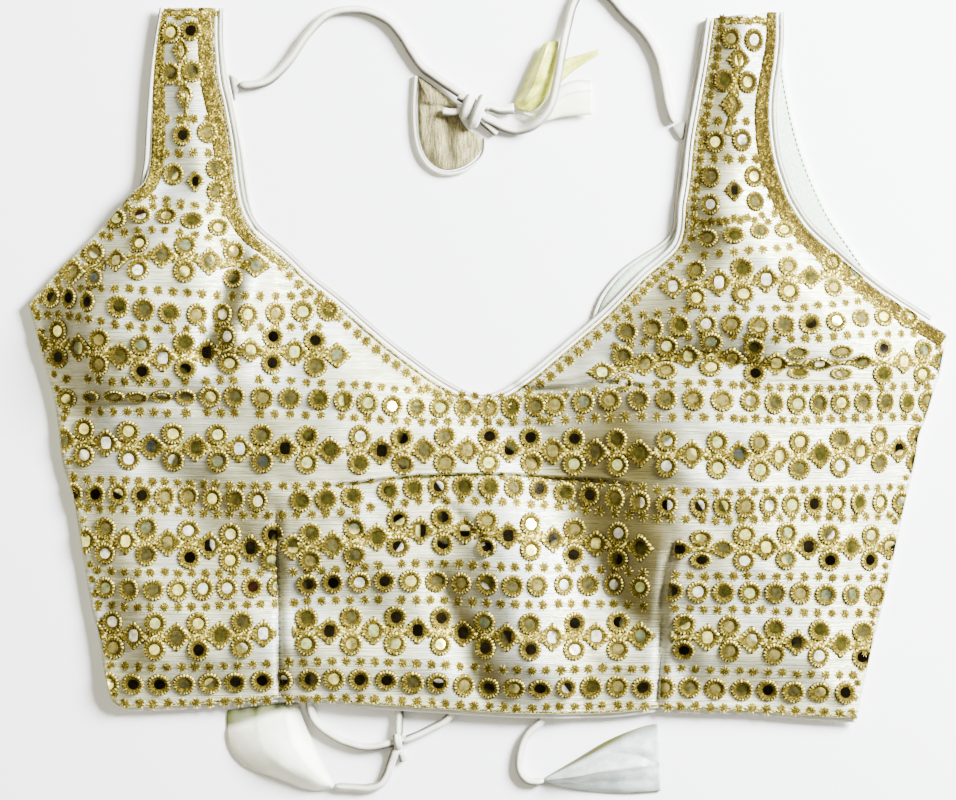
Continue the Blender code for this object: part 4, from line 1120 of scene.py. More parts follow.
def patch_shape():
    """Bow-tie of short bumpy stitches, 13 mm long, 3 mm wide in the middle and 7 at its ends."""
    across, along = np.meshgrid(np.linspace(-1, 1, 5), np.linspace(-1, 1, 13), indexing="ij")
    half = 1.6 + 1.9 * np.abs(along) ** 1.5
    bump = rng.random((5, 13))
    height = np.where(np.abs(across) > 0.9, 0.05, 0.35 + 0.5 * bump)
    # Painted light: the higher a stitch stands, the lighter it is painted
    return (stacked(6.6 * along, half * across, height), grid_quads(5, 13),
            (0.18 + 0.66 * bump).ravel())


stars = rough_hand(star_spots, 0.35, 0.4, 0.08)
frames_piece("stars", stars, star_shape())
frames_piece("cross_patches", rough_hand(patch_spots, 0.2, 0.03, 0.05), patch_shape())
print("mirror work: %d rings, %d diamonds, %d stars" % (len(rings), len(diamonds), len(stars)))

# %% [markdown]
# ## Borders
# Along the neck runs a line of dense gold stitch with a row of buds inside it.  The straps
# and the right armhole carry a broad band instead, closely filled with small scales.  A
# band is a strip of rows across the edge line: its height swells over each scale, and loose
# ends of thread make it rough.  The hem has one thin line, close to the fold.

# %% Borders
def band(name, line, near, far, step, scale, crest, tone=0.05, material=GOLD,
         slot="gold_thread", lift=0.0):
    """Strip beside an edge line, from inset near to inset far, each a list spread along it.

    Scales: height = crest * (0.25 + 0.45 * soft noise in cells of the scale + 0.5 * a random
    part for single threads).
    """
    rows = thinned(line, step)
    count = len(rows)
    near = np.interp(np.linspace(0, 1, count), np.linspace(0, 1, len(near)), near)[:, None]
    far = np.interp(np.linspace(0, 1, count), np.linspace(0, 1, len(far)), far)[:, None]
    widest = float(np.abs(far - near).max())
    columns = max(3, int(round(widest / step)) + 1)
    share = np.linspace(0, 1, columns)[None, :]
    rough = rng.uniform(-0.5, 0.5, (count, columns)) * min(0.5, 0.25 * widest)
    inset = near + (far - near) * share + rough * (material is GOLD)
    along = directions(rows)
    x = rows[:, :1] - along[:, 1:] * inset
    y = rows[:, 1:] + along[:, :1] * inset
    scales = 0.5 + 0.5 * soft_noise(x, y, scale)
    thread = rng.random((count, columns))
    height = crest * (0.25 + 0.45 * scales + 0.50 * thread)
    height[:, [0, -1]] = 0.0
    z = cloth_height(x, y) + height + lift
    # Painted light: higher scales and threads lighter, the two edges in painted shade
    bright = tone + 0.40 * scales + 0.60 * thread
    bright[:, [0, -1]] = 0.15
    quads = grid_quads(count, columns, flip=bool(far.mean() > near.mean()))
    return piece(name, stacked(x, y, z), quads, material, (),
                 {"groove": bright.ravel(), "shade": 0 * bright.ravel()})


def along_edge(line, inset, step, size):
    """Spots for buds at even steps beside an edge line, turned to face along it."""
    rows = thinned(line, step)
    along = directions(rows)
    turn = np.arctan2(along[:, 1], along[:, 0])
    return np.column_stack([offset_line(rows, inset), turn, np.full((len(rows), 2), size)])


NECK_IN = NECK[::-1]
STRAP_LEFT = smooth_run(STRAP_OUTER_LEFT)
ARMHOLE = smooth_run(ARMHOLE_RIGHT)
FOLDED = smooth_run(FOLDED_EDGE_LEFT)
at_neck = length_along(NECK_IN) / length_along(NECK_IN)[-1]
left_strap, right_strap = NECK_IN[at_neck > 0.72], NECK_IN[at_neck < 0.30]
rest_of_neck = NECK_IN[at_neck < 0.74][len(right_strap):]
BANDS = [
    # name, line, near, far, step, scale, crest, tone; a tone shifts the band's painted light,
    # and the armhole band's low tone is painted shade where the band faces the light
    ("neck_thread_line", NECK_IN, [1.1], [2.3], 0.55, 1.1, 0.55, 0.05),
    ("strap_inner_band", left_strap, [2.5], [5.5, 10.0, 10.2, 9.0], 0.6, 1.3, 0.75, -0.19),
    ("strap_outer_band", STRAP_LEFT[:-1], [-0.5], [-6.4, -7.6, -7.0, -5.6, -4.4], 0.6, 1.3, 0.8,
     -0.12),
    ("armhole_band", ARMHOLE, [1.1], [7.6, 8.4, 8.6, 8.6, 8.8, 8.6, 8.2, 6.6, 5.4], 0.6, 1.3,
     0.8, -0.36),
    ("strap_cut_left", np.array([(-161.5, 178.0), (-134.5, 178.0)]), [-0.6], [-3.8], 0.6, 1.3,
     0.7, -0.1),
    ("strap_cut_right", np.array([(118.5, 173.8), (141.0, 174.4)]), [-0.6], [-3.8], 0.6, 1.3,
     0.7, -0.1),
    ("hem_thread_line", HEM_LINE, [0.7], [1.7], 0.6, 1.2, 0.5, 0.12),
]
for row in BANDS:
    band(*row)
for name, line, far in (("neck_bias_fold", NECK_IN, 0.9), ("armhole_bias_fold", ARMHOLE, 1.0)):
    band(name, line, [-0.2], [far], 1.6, 60.0, 0.55, material=SATIN_BIAS, slot="piping",
         lift=0.05)
BUD_LINES = [
    # line, inset, step, size
    (rest_of_neck, 5.4, 6.3, 1.12), (right_strap, 5.2, 4.8, 1.0), (FOLDED, -3.2, 6.4, 1.05),
    (ARMHOLE[14:-40], 8.2, 6.2, 0.95), (smooth_run(SIDE_LEFT)[2:], -3.2, 7.4, 0.8),
    (smooth_run(SIDE_RIGHT)[2:], 3.2, 7.4, 0.8),
]
buds = np.vstack([along_edge(*row) for row in BUD_LINES])
frames_piece("border_buds", rough_hand(buds, 0.3, 0.2, 0.06), star_shape())
print("borders:", len(buds), "buds")

# %% [markdown]
# ## Darts
# The two waist darts are stitched from inside, so only a shut line shows on the silk, with a
# row of short dark pulled stitches across it.

# %% Darts
def stitches(name, places, turns, size, material, level=None):
    """Short flat stitches: boxes of length, width and height, at (x, y) with turns."""
    length, width, height = size
    u = np.array([-1, 1, 1, -1, -1, 1, 1, -1]) * length / 2
    v = np.array([-1, -1, 1, 1, -1, -1, 1, 1]) * width / 2
    w = np.array([0, 0, 0, 0, 1, 1, 1, 1]) * height
    u = np.where(w > 0, u * 0.8, u)
    faces = np.array([(4, 5, 6, 7), (0, 1, 5, 4), (1, 2, 6, 5), (2, 3, 7, 6), (3, 0, 4, 7)])
    c, s = np.cos(turns)[:, None], np.sin(turns)[:, None]
    x = places[:, :1] + u * c - v * s
    y = places[:, 1:2] + u * s + v * c
    base = cloth_height(x, y) if level is None else level
    points = stacked(x, y, base + w + 0 * x)
    return piece(name, points, repeated(faces, 8, len(places)), material)


dart_rows = np.vstack([thinned(DART_LEFT + [0.5, 0], 3.1), thinned(DART_RIGHT + [-0.2, 0], 3.1)])
THREAD = blank("dark_thread", Base_Color=(0.12, 0.09, 0.04, 1.0), Roughness=0.7)[0]
stitches("dart_stitches", dart_rows, rng.uniform(-0.4, 0.4, len(dart_rows)), (1.7, 0.35, 0.3),
         THREAD)
print("dart stitches:", len(dart_rows))

# %% [markdown]
# ## Piping
# Piping is a bias strip of satin folded round a cord and caught in the seam.  It is the
# outline of the neck and armholes.  The stitches pinch it, so its radius waves by a few
# hundredths along the edge.

# %% Piping
PIPING_RADIUS, BACK_PIPING_RADIUS, PIPING_STEP, BACK_PIPING_STEP = 1.2, 1.1, 1.3, 1.8
PIPING_CLEAR = PIPING_RADIUS + SEAM_GAP + 0.4
# The right run starts a few points up its line.  The left one leaves the strap, turns in
# through two places, and goes on under the silk beside the folded edge.
ARMHOLE_SKIP, STRAP_KEPT = 4, -14
TURN_IN = [(-173.6, 88.2), (-178.4, 75.0)]
HIDDEN_INSET, HIDDEN_FROM, HIDDEN_TO = -11.0, 10, -8
# The back is cut 1 mm inside the front along the side seams
BACK_LEFT = {
    "side": ([(-178, -165.5), (-185, -163)] + [(x + 1, y) for x, y in SIDE_LEFT[2:8]]
             + [(-228.5, 29)]),
    "armhole": [(-228.5, 29), (-214.5, 44), (-202, 56.5), (-188, 70.5), (-176.5, 84.5),
                (-169.5, 91), (-167.6, 103), (-167, 125), (-166.3, 147.5), (-163, 177.5)],
    "neck": [(-134.8, 177.5), (-134.6, 162.5), (-132.4, 144.5), (-129.9, 132.5), (-127, 117.5),
             (-125, 107.5), (-123.3, 95), (-121.4, 82.5), (-118.8, 72.5), (-114, 57.5),
             (-112, 32.5), (-109.5, 2.5), (-104.5, -32.5), (-99.5, -72.5), (-94.5, -100),
             (-92, -117.5)],
    "centre": [(-92, -117.5), (-92, -164.5)],
}
BACK_RIGHT = {
    "side": [(181, -169.5)] + [(x - 1, y) for x, y in SIDE_RIGHT[1:11]] + [(228.5, 14.5)],
    "armhole": [(228.5, 14.5), (211, 25.5), (199, 37), (189, 49.5), (181, 61), (173.5, 71.5),
                (167.5, 82.5), (161, 97.5), (156, 112.5), (152, 128.5), (149, 145),
                (147.3, 162.5), (146.3, 175.5)],
    "neck": [(111, 172.5), (106.8, 152.5), (103.2, 132.5), (100.2, 112.5), (97.4, 95),
             (95.8, 80), (94.6, 68), (90.5, 61.5), (84, 56.6), (76.5, 52), (69, 46.5),
             (62.5, 39.5), (57.5, 32), (53.5, 20), (50.5, 0), (48, -38), (45, -72),
             (39, -100), (36, -117.5)],
    "centre": [(36, -117.5), (36, -164.5)],
}


def pinched(run, angle):
    """Radius factor of piping: small puckers every 3.2 mm and a flat fold on one side."""
    return (1 + 0.035 * np.sin(2 * math.pi * run / 3.2 + np.sin(run / 17))
            - 0.07 * np.exp(-((angle - 4.4) / 0.5) ** 2))


def tube_side_shade(count, sides, lean=0.35):
    """Painted shade down both sides of a tube, more at one than the other, slowly changing."""
    angle = np.linspace(0, 2 * math.pi, sides, endpoint=False)[None, :]
    run = np.arange(count)[:, None]
    slow = 0.86 + 0.14 * np.sin(run / 9.0 + 2 * np.sin(run / 23.0))
    side = ease((np.abs(np.cos(angle)) - 0.10) / 0.50) * (0.66 + lean * np.cos(angle))
    return (side * slow).ravel()


def tube_piece(name, line, radius, nodes, sides=12, wave=pinched, lean=0.35):
    """Closed tube of bias satin, with painted shade down its two sides."""
    points, quads, caps = tube_surface(line, radius, sides, wave)
    return piece(name, points, list(quads) + caps, SATIN_BIAS, nodes,
                 {"shade": tube_side_shade(len(line), sides, lean)})


def level_line(line, spacing, level):
    """Line of (x, y) at even steps and one height."""
    line = thinned(line, spacing)
    return np.column_stack([line, np.full(len(line), level)])


neck_axis = np.column_stack([offset_line(NECK, PIPING_CLEAR),
                             cloth_height(NECK[:, 0], NECK[:, 1]) - FRONT_WALL / 2])
tube_piece("neck_piping", thinned(neck_axis, PIPING_STEP), PIPING_RADIUS, ["piping_neck"],
           lean=-0.3)
right_run = offset_line(ARMHOLE, -PIPING_CLEAR)[ARMHOLE_SKIP:]
strap_run = offset_line(STRAP_LEFT, PIPING_CLEAR)[::-1]
hidden_run = offset_line(FOLDED, HIDDEN_INSET)[::-1]
turn_in = smooth_run([strap_run[STRAP_KEPT]] + TURN_IN + [hidden_run[HIDDEN_FROM]])
left_run = np.vstack([strap_run[:STRAP_KEPT], turn_in[:-1], hidden_run[HIDDEN_FROM:HIDDEN_TO]])
# Up the strap the piping rolls under the silk's edge, so less and less of it shows
left_run[:, 0] += 2.7 * ease((left_run[:, 1] - 105) / 70)
ARM_LEVEL = LINING_TOP + SEAM_GAP + PIPING_RADIUS + 0.05
for side, run in (("left", left_run), ("right", right_run)):
    tube_piece("armhole_piping_" + side, level_line(run, PIPING_STEP, ARM_LEVEL),
               PIPING_RADIUS, ["piping_armhole_" + side])
for side, half, turn in (("left", BACK_LEFT, 1), ("right", BACK_RIGHT, -1)):
    run = offset_line(smooth_run(half["neck"]), turn * (BACK_PIPING_RADIUS + SEAM_GAP))
    run = level_line(run, BACK_PIPING_STEP, BACK_PIPING_RADIUS + 0.1)
    tube_piece("back_neck_piping_" + side, run, BACK_PIPING_RADIUS,
               ["piping_back_neck_" + side], 10)
print("piping: neck %.0f mm, right armhole %.0f mm"
      % (length_along(neck_axis)[-1], length_along(right_run)[-1]))

# %% [markdown]
# ## Back halves and hem facing
# The back opens down the middle.  Each half is silk and lining of one cut, flat on the table
# under the front, and only its lining shows, past the right armhole, where a row of stitches
# runs just inside the edge.  The hem's facing is a strip turned up from the lining.

# %% Back halves and hem facing
BACK_FLAT = (0.155, 0.345)
BACK_WALL, BACK_SILK_TOP, BACK_ROWS, BACK_COLUMNS = 0.8, 1.0, 72, 26


def back_sheet(name, half, level, material, node_name, ripple):
    """Flat loft from side and armhole to neck and centre edge, with a slight ripple."""
    outer = np.vstack([np.array(half["side"], float), smooth_run(half["armhole"], 2)[1:]])
    inner = np.vstack([smooth_run(half["neck"], 2), np.array(half["centre"], float)[1:]])[::-1]
    climb = np.linspace(0, 1, BACK_ROWS)[:, None]
    share = np.linspace(0, 1, BACK_COLUMNS)[None, :]
    outer_y = outer[0, 1] + (outer[-1, 1] - outer[0, 1]) * climb
    inner_y = inner[0, 1] + (inner[-1, 1] - inner[0, 1]) * climb
    outer_x, inner_x = x_on(outer, outer_y), x_on(inner, inner_y)
    x, y = outer_x + (inner_x - outer_x) * share, outer_y + (inner_y - outer_y) * share
    z = level - ripple * (0.5 + 0.5 * np.sin(x / 5.0 + y / 9.0) * np.cos(y / 14.0))
    mirrored = bool(outer[0, 0] > inner[0, 0])
    cloth = piece(name, stacked(x, y, z), grid_quads(*z.shape, flip=mirrored), material,
                  [node_name])
    solidify(cloth, BACK_WALL)
    return cloth, abs(signed_area(np.vstack([outer, inner[::-1]]))) * MM ** 2


for side, half in (("left", BACK_LEFT), ("right", BACK_RIGHT)):
    silk, area = back_sheet("back_silk_" + side, half, BACK_SILK_TOP, BACK_SILK,
                            "back_panel_" + side, 0.0)
    wide = max(BACK_FLAT[0], area / BACK_FLAT[1])
    lining, area = back_sheet("lining_" + side, half, LINING_TOP, LINING,
                              "back_lining_" + side, 0.18)
    print("back half %s: %.4f m2" % (side, area))

armhole_edge = offset_line(smooth_run(BACK_RIGHT["armhole"]), 1.7)
armhole_stitch = thinned(armhole_edge[6:-4], 2.7)
way = np.gradient(armhole_stitch, axis=0)
stitches("lining_stitches", armhole_stitch, np.arctan2(way[:, 1], way[:, 0]), (1.9, 0.35, 0.22),
         THREAD, LINING_TOP - 0.02)

hem_out = thinned(HEM_LINE, 2.5)
# How far over the hem line each row of the facing lies; the first two are outside the fold
hem_rows = np.array([-2.0, -1.0, 0.0, 3.0, 7.0, 12.0])[:, None]
hem_x = hem_out[None, :, 0] + 0 * hem_rows
hem_y = hem_out[None, :, 1] + hem_rows
hem_at = np.maximum(hem_y, hem_out[None, :, 1])
hem_sx, hem_sy = slopes(hem_x, hem_at)
# The facing lies just under the silk, whose wall measures more upright where it slopes
hem_z = (cloth_height(hem_x, hem_at) - 0.4
         - FRONT_WALL * np.minimum(np.sqrt(1 + hem_sx ** 2 + hem_sy ** 2), 2.0))
facing = piece("hem_lining_strip", stacked(hem_x, hem_y, hem_z), grid_quads(*hem_x.shape),
               SATIN_BIAS, ["hem_facing"])
solidify(facing, 0.9)
print("hem facing: %.0f mm" % length_along(hem_out)[-1])

# %% [markdown]
# ## Cords and knots
# The neck and hem close with cords of the same satin: bias strips sewn into tubes and turned
# right side out, so a seam winds slowly round each one.  The neck cords meet in a knot of two
# turns, the hem tie in a bow.  A knot here is made of its turns, pulled flat and tight round
# the strands that they hold.

# %% Cords and knots
CORD_LEVEL, TIE_LEVEL = 2.4, 2.2


def at_level(level, *places):
    """Route points of one height."""
    return [(x, y, level) for x, y in places]


DORI_LEFT = at_level(
    CORD_LEVEL, (-124.2, 140.4), (-118.5, 140.2), (-109.5, 142.8), (-100, 152), (-91, 165),
    (-81, 175), (-70.5, 178), (-59.5, 177), (-49.5, 172), (-43, 164.5), (-38, 156.5),
    (-32.5, 149)) + [(-23, 142, 2.9), (-13.9, 135.7, 4.4)]
DORI_RIGHT = [(1.6, 122.2, 3.9), (8.5, 119, 2.8), (15.5, 117.6, 2.6), (24, 120.5, 6.8),
              (31, 129, 8.9), (34.5, 142.5, 8.8), (37, 156.5, 7.6), (39.5, 168.5, 3.4)]
DORI_RIGHT += at_level(
    CORD_LEVEL, (42.5, 180), (47, 187.5), (54, 189.5), (61, 184.5), (68.5, 176), (78.5, 166),
    (85, 154.5), (88, 142.5), (90, 131.5), (91.6, 125.8), (93.6, 121.2))
LATKAN_TAIL = [(1.4, 129.2, 5.4), (6.5, 127.9, 4.2), (12.8, 128.3, 3.4)]
TIE_LEFT = at_level(
    TIE_LEVEL, (-89.4, -148), (-89.4, -160), (-89, -172), (-85.5, -179.5), (-76, -186.6),
    (-65, -190.6)) + [(-57, -191, 2.4), (-50.6, -189.6, 3.0)]
TIE_LEFT_END = [(-46.8, -194.4, 2.9)] + at_level(
    TIE_LEVEL, (-48.6, -199.5), (-50.6, -205.5), (-54.2, -210.2), (-60.5, -211.8),
    (-67, -211.6), (-76.8, -211.1))
BOW_EAR = [(-44.6, -182.8, 3.2)] + at_level(
    TIE_LEVEL, (-44.5, -177), (-44.3, -169), (-41.5, -162), (-34.5, -158.5), (-25.5, -159.5),
    (-18.5, -165), (-17, -172), (-21.5, -178.3), (-28.5, -182))
BOW_EAR += [(-34.5, -184.9, 2.4), (-39.8, -187, 3.0)]
TIE_RIGHT = at_level(
    TIE_LEVEL, (33.4, -148), (33.4, -160), (31.5, -171), (26, -179), (19.5, -185.5),
    (16.2, -194), (15.8, -202), (19.2, -207.5), (24, -208.6), (27.9, -208.1))
STUB = [(-22.6, 126.8, 4.7), (-18.4, 126.2, 5.0), (-14.6, 126.4, 5.2)]
BOW_STUB = [(-43.2, -194.2, 2.8), (-42.2, -198.2, 2.1)]
# Tabs that the neck cords come out of: name, share of olive, outline
TABS = [
    ("dori_tab_left", 0.45, [(-129.3, 146.0), (-124.7, 142.6), (-124.7, 138.4),
                             (-126.2, 136.0), (-126.9, 132.8)]),
    ("dori_tab_right", 0.7, [(92.0, 119.5), (95.9, 121.4), (98.6, 121.4), (97.3, 113.4),
                             (95.0, 114.6)]),
]
TAB_FLOOR, TAB_EDGE, TAB_TOP, TAB_SHRINK = 0.3, 1.9, 2.3, 0.86
CORD_RADIUS, TIE_RADIUS, STUB_RADIUS, TAIL_RADIUS = 2.3, 2.1, 1.9, 2.7
CORD_STEP, CORD_SIDES, WRAP_POINTS = 1.5, 14, 44
# A cord is thinner at its ends: share of its radius there, and over how many mm it fills out
THIN_END, THIN_RUN = 0.55, 2.0
# Thickness of a cord pulled tight, as a share of its width
TIGHT = 0.62


def turned_tube(run, angle):
    """Radius factor of a turned bias tube: slightly flat, with a winding seam and creases."""
    seam = (angle - 1.2 - run / 38.0 + math.pi) % (2 * math.pi) - math.pi
    return (1 + 0.05 * np.cos(2 * angle - run / 26.0) - 0.13 * np.exp(-(seam / 0.3) ** 2)
            + 0.02 * np.sin(run / 1.9 + 2 * angle))


def cord_piece(name, route, radius, node_name):
    """Cord along its route, thinner at both ends."""
    line = thinned(smooth_run(route), CORD_STEP)
    from_end = np.minimum(length_along(line), length_along(line[::-1])[::-1])
    filled = np.minimum(1, THIN_END + (1 - THIN_END) * from_end / THIN_RUN)
    tube = tube_piece(name, line, radius * filled, [node_name], CORD_SIDES, turned_tube)


def wrap(x, y, half_width, half_height, lean, radius, turn):
    """One turn of cord round a knot: an oval that starts underneath and closes on itself.

    Point = centre + lean cos(a) along the axis, (half width - radius) cos(a) to its side and
    (half height - 0.62 radius) sin(a) up, for a from -90 to 278 degrees.
    """
    angle = np.radians(np.linspace(-90, 278, WRAP_POINTS))
    axis, side = lean * np.cos(angle), (half_width - radius) * np.cos(angle)
    rise = (half_height - TIGHT * radius) * np.sin(angle)
    c, s = math.cos(math.radians(turn)), math.sin(math.radians(turn))
    return np.column_stack([x + axis * c - side * s, y + axis * s + side * c,
                            half_height + 0.1 + rise])


def flattened(run, angle):
    """Radius factor of a cord pulled tight: an oval, 0.62 as thick as it is wide, and creases."""
    oval = 1 / np.sqrt(np.cos(angle) ** 2 + (np.sin(angle) / TIGHT) ** 2)
    return oval * (1 + 0.03 * np.sin(run / 1.3 + 3 * angle))


def knot_piece(name, wraps, radius, strands, turn, node_name):
    """Knot: its turns, and the strands that they hold, run together into one piece.

    A turn is x, y, half width, half height and lean; a strand is a route and a radius.
    """
    made, shade, count, faces = [], [], 0, []
    lines = [(wrap(*row, radius, turn), radius, flattened) for row in wraps]
    lines += [(thinned(smooth_run(route), 0.7), size, turned_tube) for route, size in strands]
    for line, size, wave in lines:
        points, quads, caps = tube_surface(line, size, CORD_SIDES, wave)
        made.append(points)
        # Painted shade down the sides of each cord; the strands a little darker all over
        shade.append(tube_side_shade(len(line), CORD_SIDES) + (0.12 if wave is turned_tube else 0.0))
        faces += [[k + count for k in face] for face in list(quads) + caps]
        count += len(points)
    return piece(name, np.vstack(made), faces, SATIN_BIAS, [node_name],
                 {"shade": np.clip(np.concatenate(shade), 0, 1)})


knot_piece(
    "neck_knot", [(-10.4, 129.0, 7.8, 4.9, 0.5), (-4.9, 126.8, 9.9, 5.7, 1.1)], 2.8,
    [([(-14.5, 134.6, 5.0), (-7, 130.6, 6.0), (0.6, 129, 5.6)], 2.3),
     ([(-15, 126.6, 5.2), (-8, 127, 5.6), (-2, 124.4, 4.8)], 2.4),
     ([(-5, 124.4, 4.4), (-0.6, 120.2, 3.0), (4.4, 116, 1.9)], 1.8)], -14, "knot_neck")
knot_piece(
    "hem_knot", [(-45.2, -188.6, 4.9, 3.6, 0.5)], 2.1,
    [([(-49.6, -189.8, 3.0), (-45.4, -188.4, 3.3), (-40.6, -187, 3.0)], 1.8),
     ([(-44.7, -184, 3.0), (-45.2, -188.6, 3.2), (-46.4, -193, 2.9)], 1.7)], 20, "knot_hem")
ENDS = [
    ("neck_knot_end", STUB, 0.8, STUB_RADIUS, "knot_neck_stub", turned_tube),
    ("hem_knot_end", BOW_STUB, 0.8, STUB_RADIUS, "knot_hem_stub", turned_tube),
    ("latkan_neck", [(-3, 129.8, 5.7)] + LATKAN_TAIL, 0.9, TAIL_RADIUS, "latkan_tail",
     flattened),
]
for name, route, spacing, radius, node_name, wave in ENDS:
    line = thinned(smooth_run(route), spacing)
    tube_piece(name, line, radius, [node_name], CORD_SIDES, wave)
for name, olive_part, outline in TABS:
    ring = even_stops(smooth_run(outline + outline[:1], 6), 30)[:-1]
    if signed_area(ring) < 0:
        ring = ring[::-1]
    size = len(ring)
    small = ring.mean(axis=0) + (ring - ring.mean(axis=0)) * TAB_SHRINK
    levels = [(ring, TAB_FLOOR), (ring, TAB_EDGE), (small, TAB_TOP)]
    points = np.vstack([np.column_stack([line, np.full(size, z)]) for line, z in levels])
    bottom, top = end_rows(3, size)
    faces = list(grid_quads(3, size, wrap=True)) + [bottom[::-1], top]
    piece(name + "_fold", points, faces, SATIN_BIAS, [name],
          {"shade": np.full(3 * size, olive_part)})

# Each cord runs on a little way into its knot
cord_piece("neck_cord_left", DORI_LEFT + [(-9.6, 132.6, 5.2)], CORD_RADIUS, "dori_left")
cord_piece("neck_cord_right", [(-3.4, 124.6, 4.7)] + DORI_RIGHT, CORD_RADIUS, "dori_right")
cord_piece("hem_cord_left", TIE_LEFT + [(-47.6, -189, 3.2)], TIE_RADIUS, "hem_tie_left")
cord_piece("hem_bow", [(-44.8, -186.4, 3.3)] + BOW_EAR + [(-43, -188.2, 3.2)], TIE_RADIUS,
           "hem_bow_ear")
print("cords and knots ready")

# %% [markdown]
# ## Latkans
# A latkan is the tassel at a cord's end.  Here each one is made of satin leaves, gathered
# into the cord at the neck and cut wide at the other end, so pleats run out from the neck
# and fade.  One latkan also has a flat drop of hand-woven cloth with piping round it.  A
# leaf is a grid between two edge curves, with a few pressed folds: each is a roof of two
# slopes, one long and one short, and painted shade in the satin's dark colour runs along it.

# %% Latkans
LEAF_WALL, LEAF_ROWS, LEAF_COLUMNS = 0.6, 44, 40
LEAVES = [
    {"name": "latkan_petal_under", "floor": 0.1, "crest": 0.5,
     "left": [(17, 130), (24, 136), (31, 146), (37, 152.5), (46, 155.5), (56, 158.5)],
     "right": [(18, 128.5), (26, 132), (34, 139), (40, 145), (48, 151), (55.5, 155.5)]},
    {"name": "latkan_petal_upper", "floor": 2.5, "crest": 2.4,
     "left": [(13, 131), (15.5, 135), (21, 147.5), (26.5, 159), (28.5, 161.5)],
     "right": [(15, 127.6), (22.5, 127.2), (29, 133.5), (32, 141.5), (34.5, 152.5), (35.5, 162)]},
    {"name": "latkan_petal_side", "floor": 2.5, "crest": 1.4,
     "left": [(17.8, 126.6), (23.6, 126.2), (29.6, 130.4), (35.2, 138.6), (43, 142.5),
              (52, 142.5)],
     "right": [(17.4, 125.4), (22, 123.2), (28, 121.8), (36, 123.9), (43, 124.8), (52, 125.3)]},
    {"name": "latkan_hem_left", "floor": 0.1, "crest": 6.0,
     "left": [(-78, -212.6), (-90, -213), (-104, -208), (-121.5, -201), (-129.5, -191),
              (-131, -178), (-130.6, -172.8)],
     "right": [(-77.2, -209.6), (-80.5, -203), (-84.5, -195), (-88.5, -187), (-91.5, -180),
               (-94, -173.5), (-95.6, -168.4)]},
    {"name": "latkan_hem_right", "floor": 0.1, "crest": 5.4,
     "left": [(28.3, -206.8), (44, -197.5), (60, -188), (76, -181.5), (85, -179.5)],
     "right": [(28.3, -209.2), (40, -212), (52, -213.5), (70, -214.5), (86.5, -213.5)]},
]

TEARDROP = [(-34.2, 144.6), (-15.8, 131.2), (-14.4, 124.5), (-10.2, 118.2), (-3.4, 114.2),
            (-4.6, 106), (-12.5, 99.4), (-22.5, 98), (-30, 103), (-34, 112.5), (-35.2, 127),
            (-34.6, 140)]
# Radius of the drop's piping, and the point of the outline where it starts
TEARDROP_PIPING, PIPING_FROM = 1.4, 4
# Pressed folds of each leaf: stations along it, place across at each (from -1 to 1), height
# in millimetres, and how far across its two slopes run; a steep slope is the folded edge
LEAF_FOLDS = {
    "latkan_petal_under": [((0.0, 1.0), (0.0, 0.1), 0.5, 0.8, 0.5)],
    "latkan_petal_upper": [((0.0, 1.0), (-0.30, -0.42), 2.2, 0.40, 0.75),
                           ((0.12, 0.55, 1.0), (0.15, 0.3, 0.55), 1.7, 0.6, 0.12),
                           ((0.30, 0.62), (-0.9, 0.9), 1.0, 0.5, 0.5)],
    "latkan_petal_side": [((0.0, 1.0), (-0.1, -0.4), 0.8, 1.0, 0.8)],
    "latkan_hem_left": [((0.0, 0.5, 1.0), (0.30, 0.40, 0.62), 1.3, 0.9, 0.35),
                        ((0.3, 1.0), (-0.35, -0.2), 1.0, 0.7, 0.9)],
    "latkan_hem_right": [((0.0, 0.42, 1.0), (0.0, 0.04, 0.22), 2.8, 0.9, 0.45),
                         ((0.55, 0.83, 1.0), (-0.62, -0.2, 0.2), -1.6, 0.22, 0.3)],
}
LEAF_SATIN = {"latkan_petal_under": LIME_SATIN, "latkan_petal_upper": LIME_SATIN,
              "latkan_petal_side": CREAM_SATIN, "latkan_hem_left": CREAM_SATIN,
              "latkan_hem_right": GREY_SATIN}
# The hem throws the top of the left latkan into shade, down to this line
HEM_SHADE = [(-128.3, -182.9), (-98.5, -172.7)]


def pressed_folds(folds, run, across):
    """Sum of roofs: height times the lesser of 1 + gap / left and 1 - gap / right, from 0."""
    total = 0 * run * across
    for stations, places, height, left, right in folds:
        gap = across - np.interp(run, stations, places)
        roof = np.clip(np.minimum(1 + gap / left, 1 - gap / right), 0, 1)
        total = total + height * roof * ease((run - stations[0] + 0.08) / 0.22)
    return total


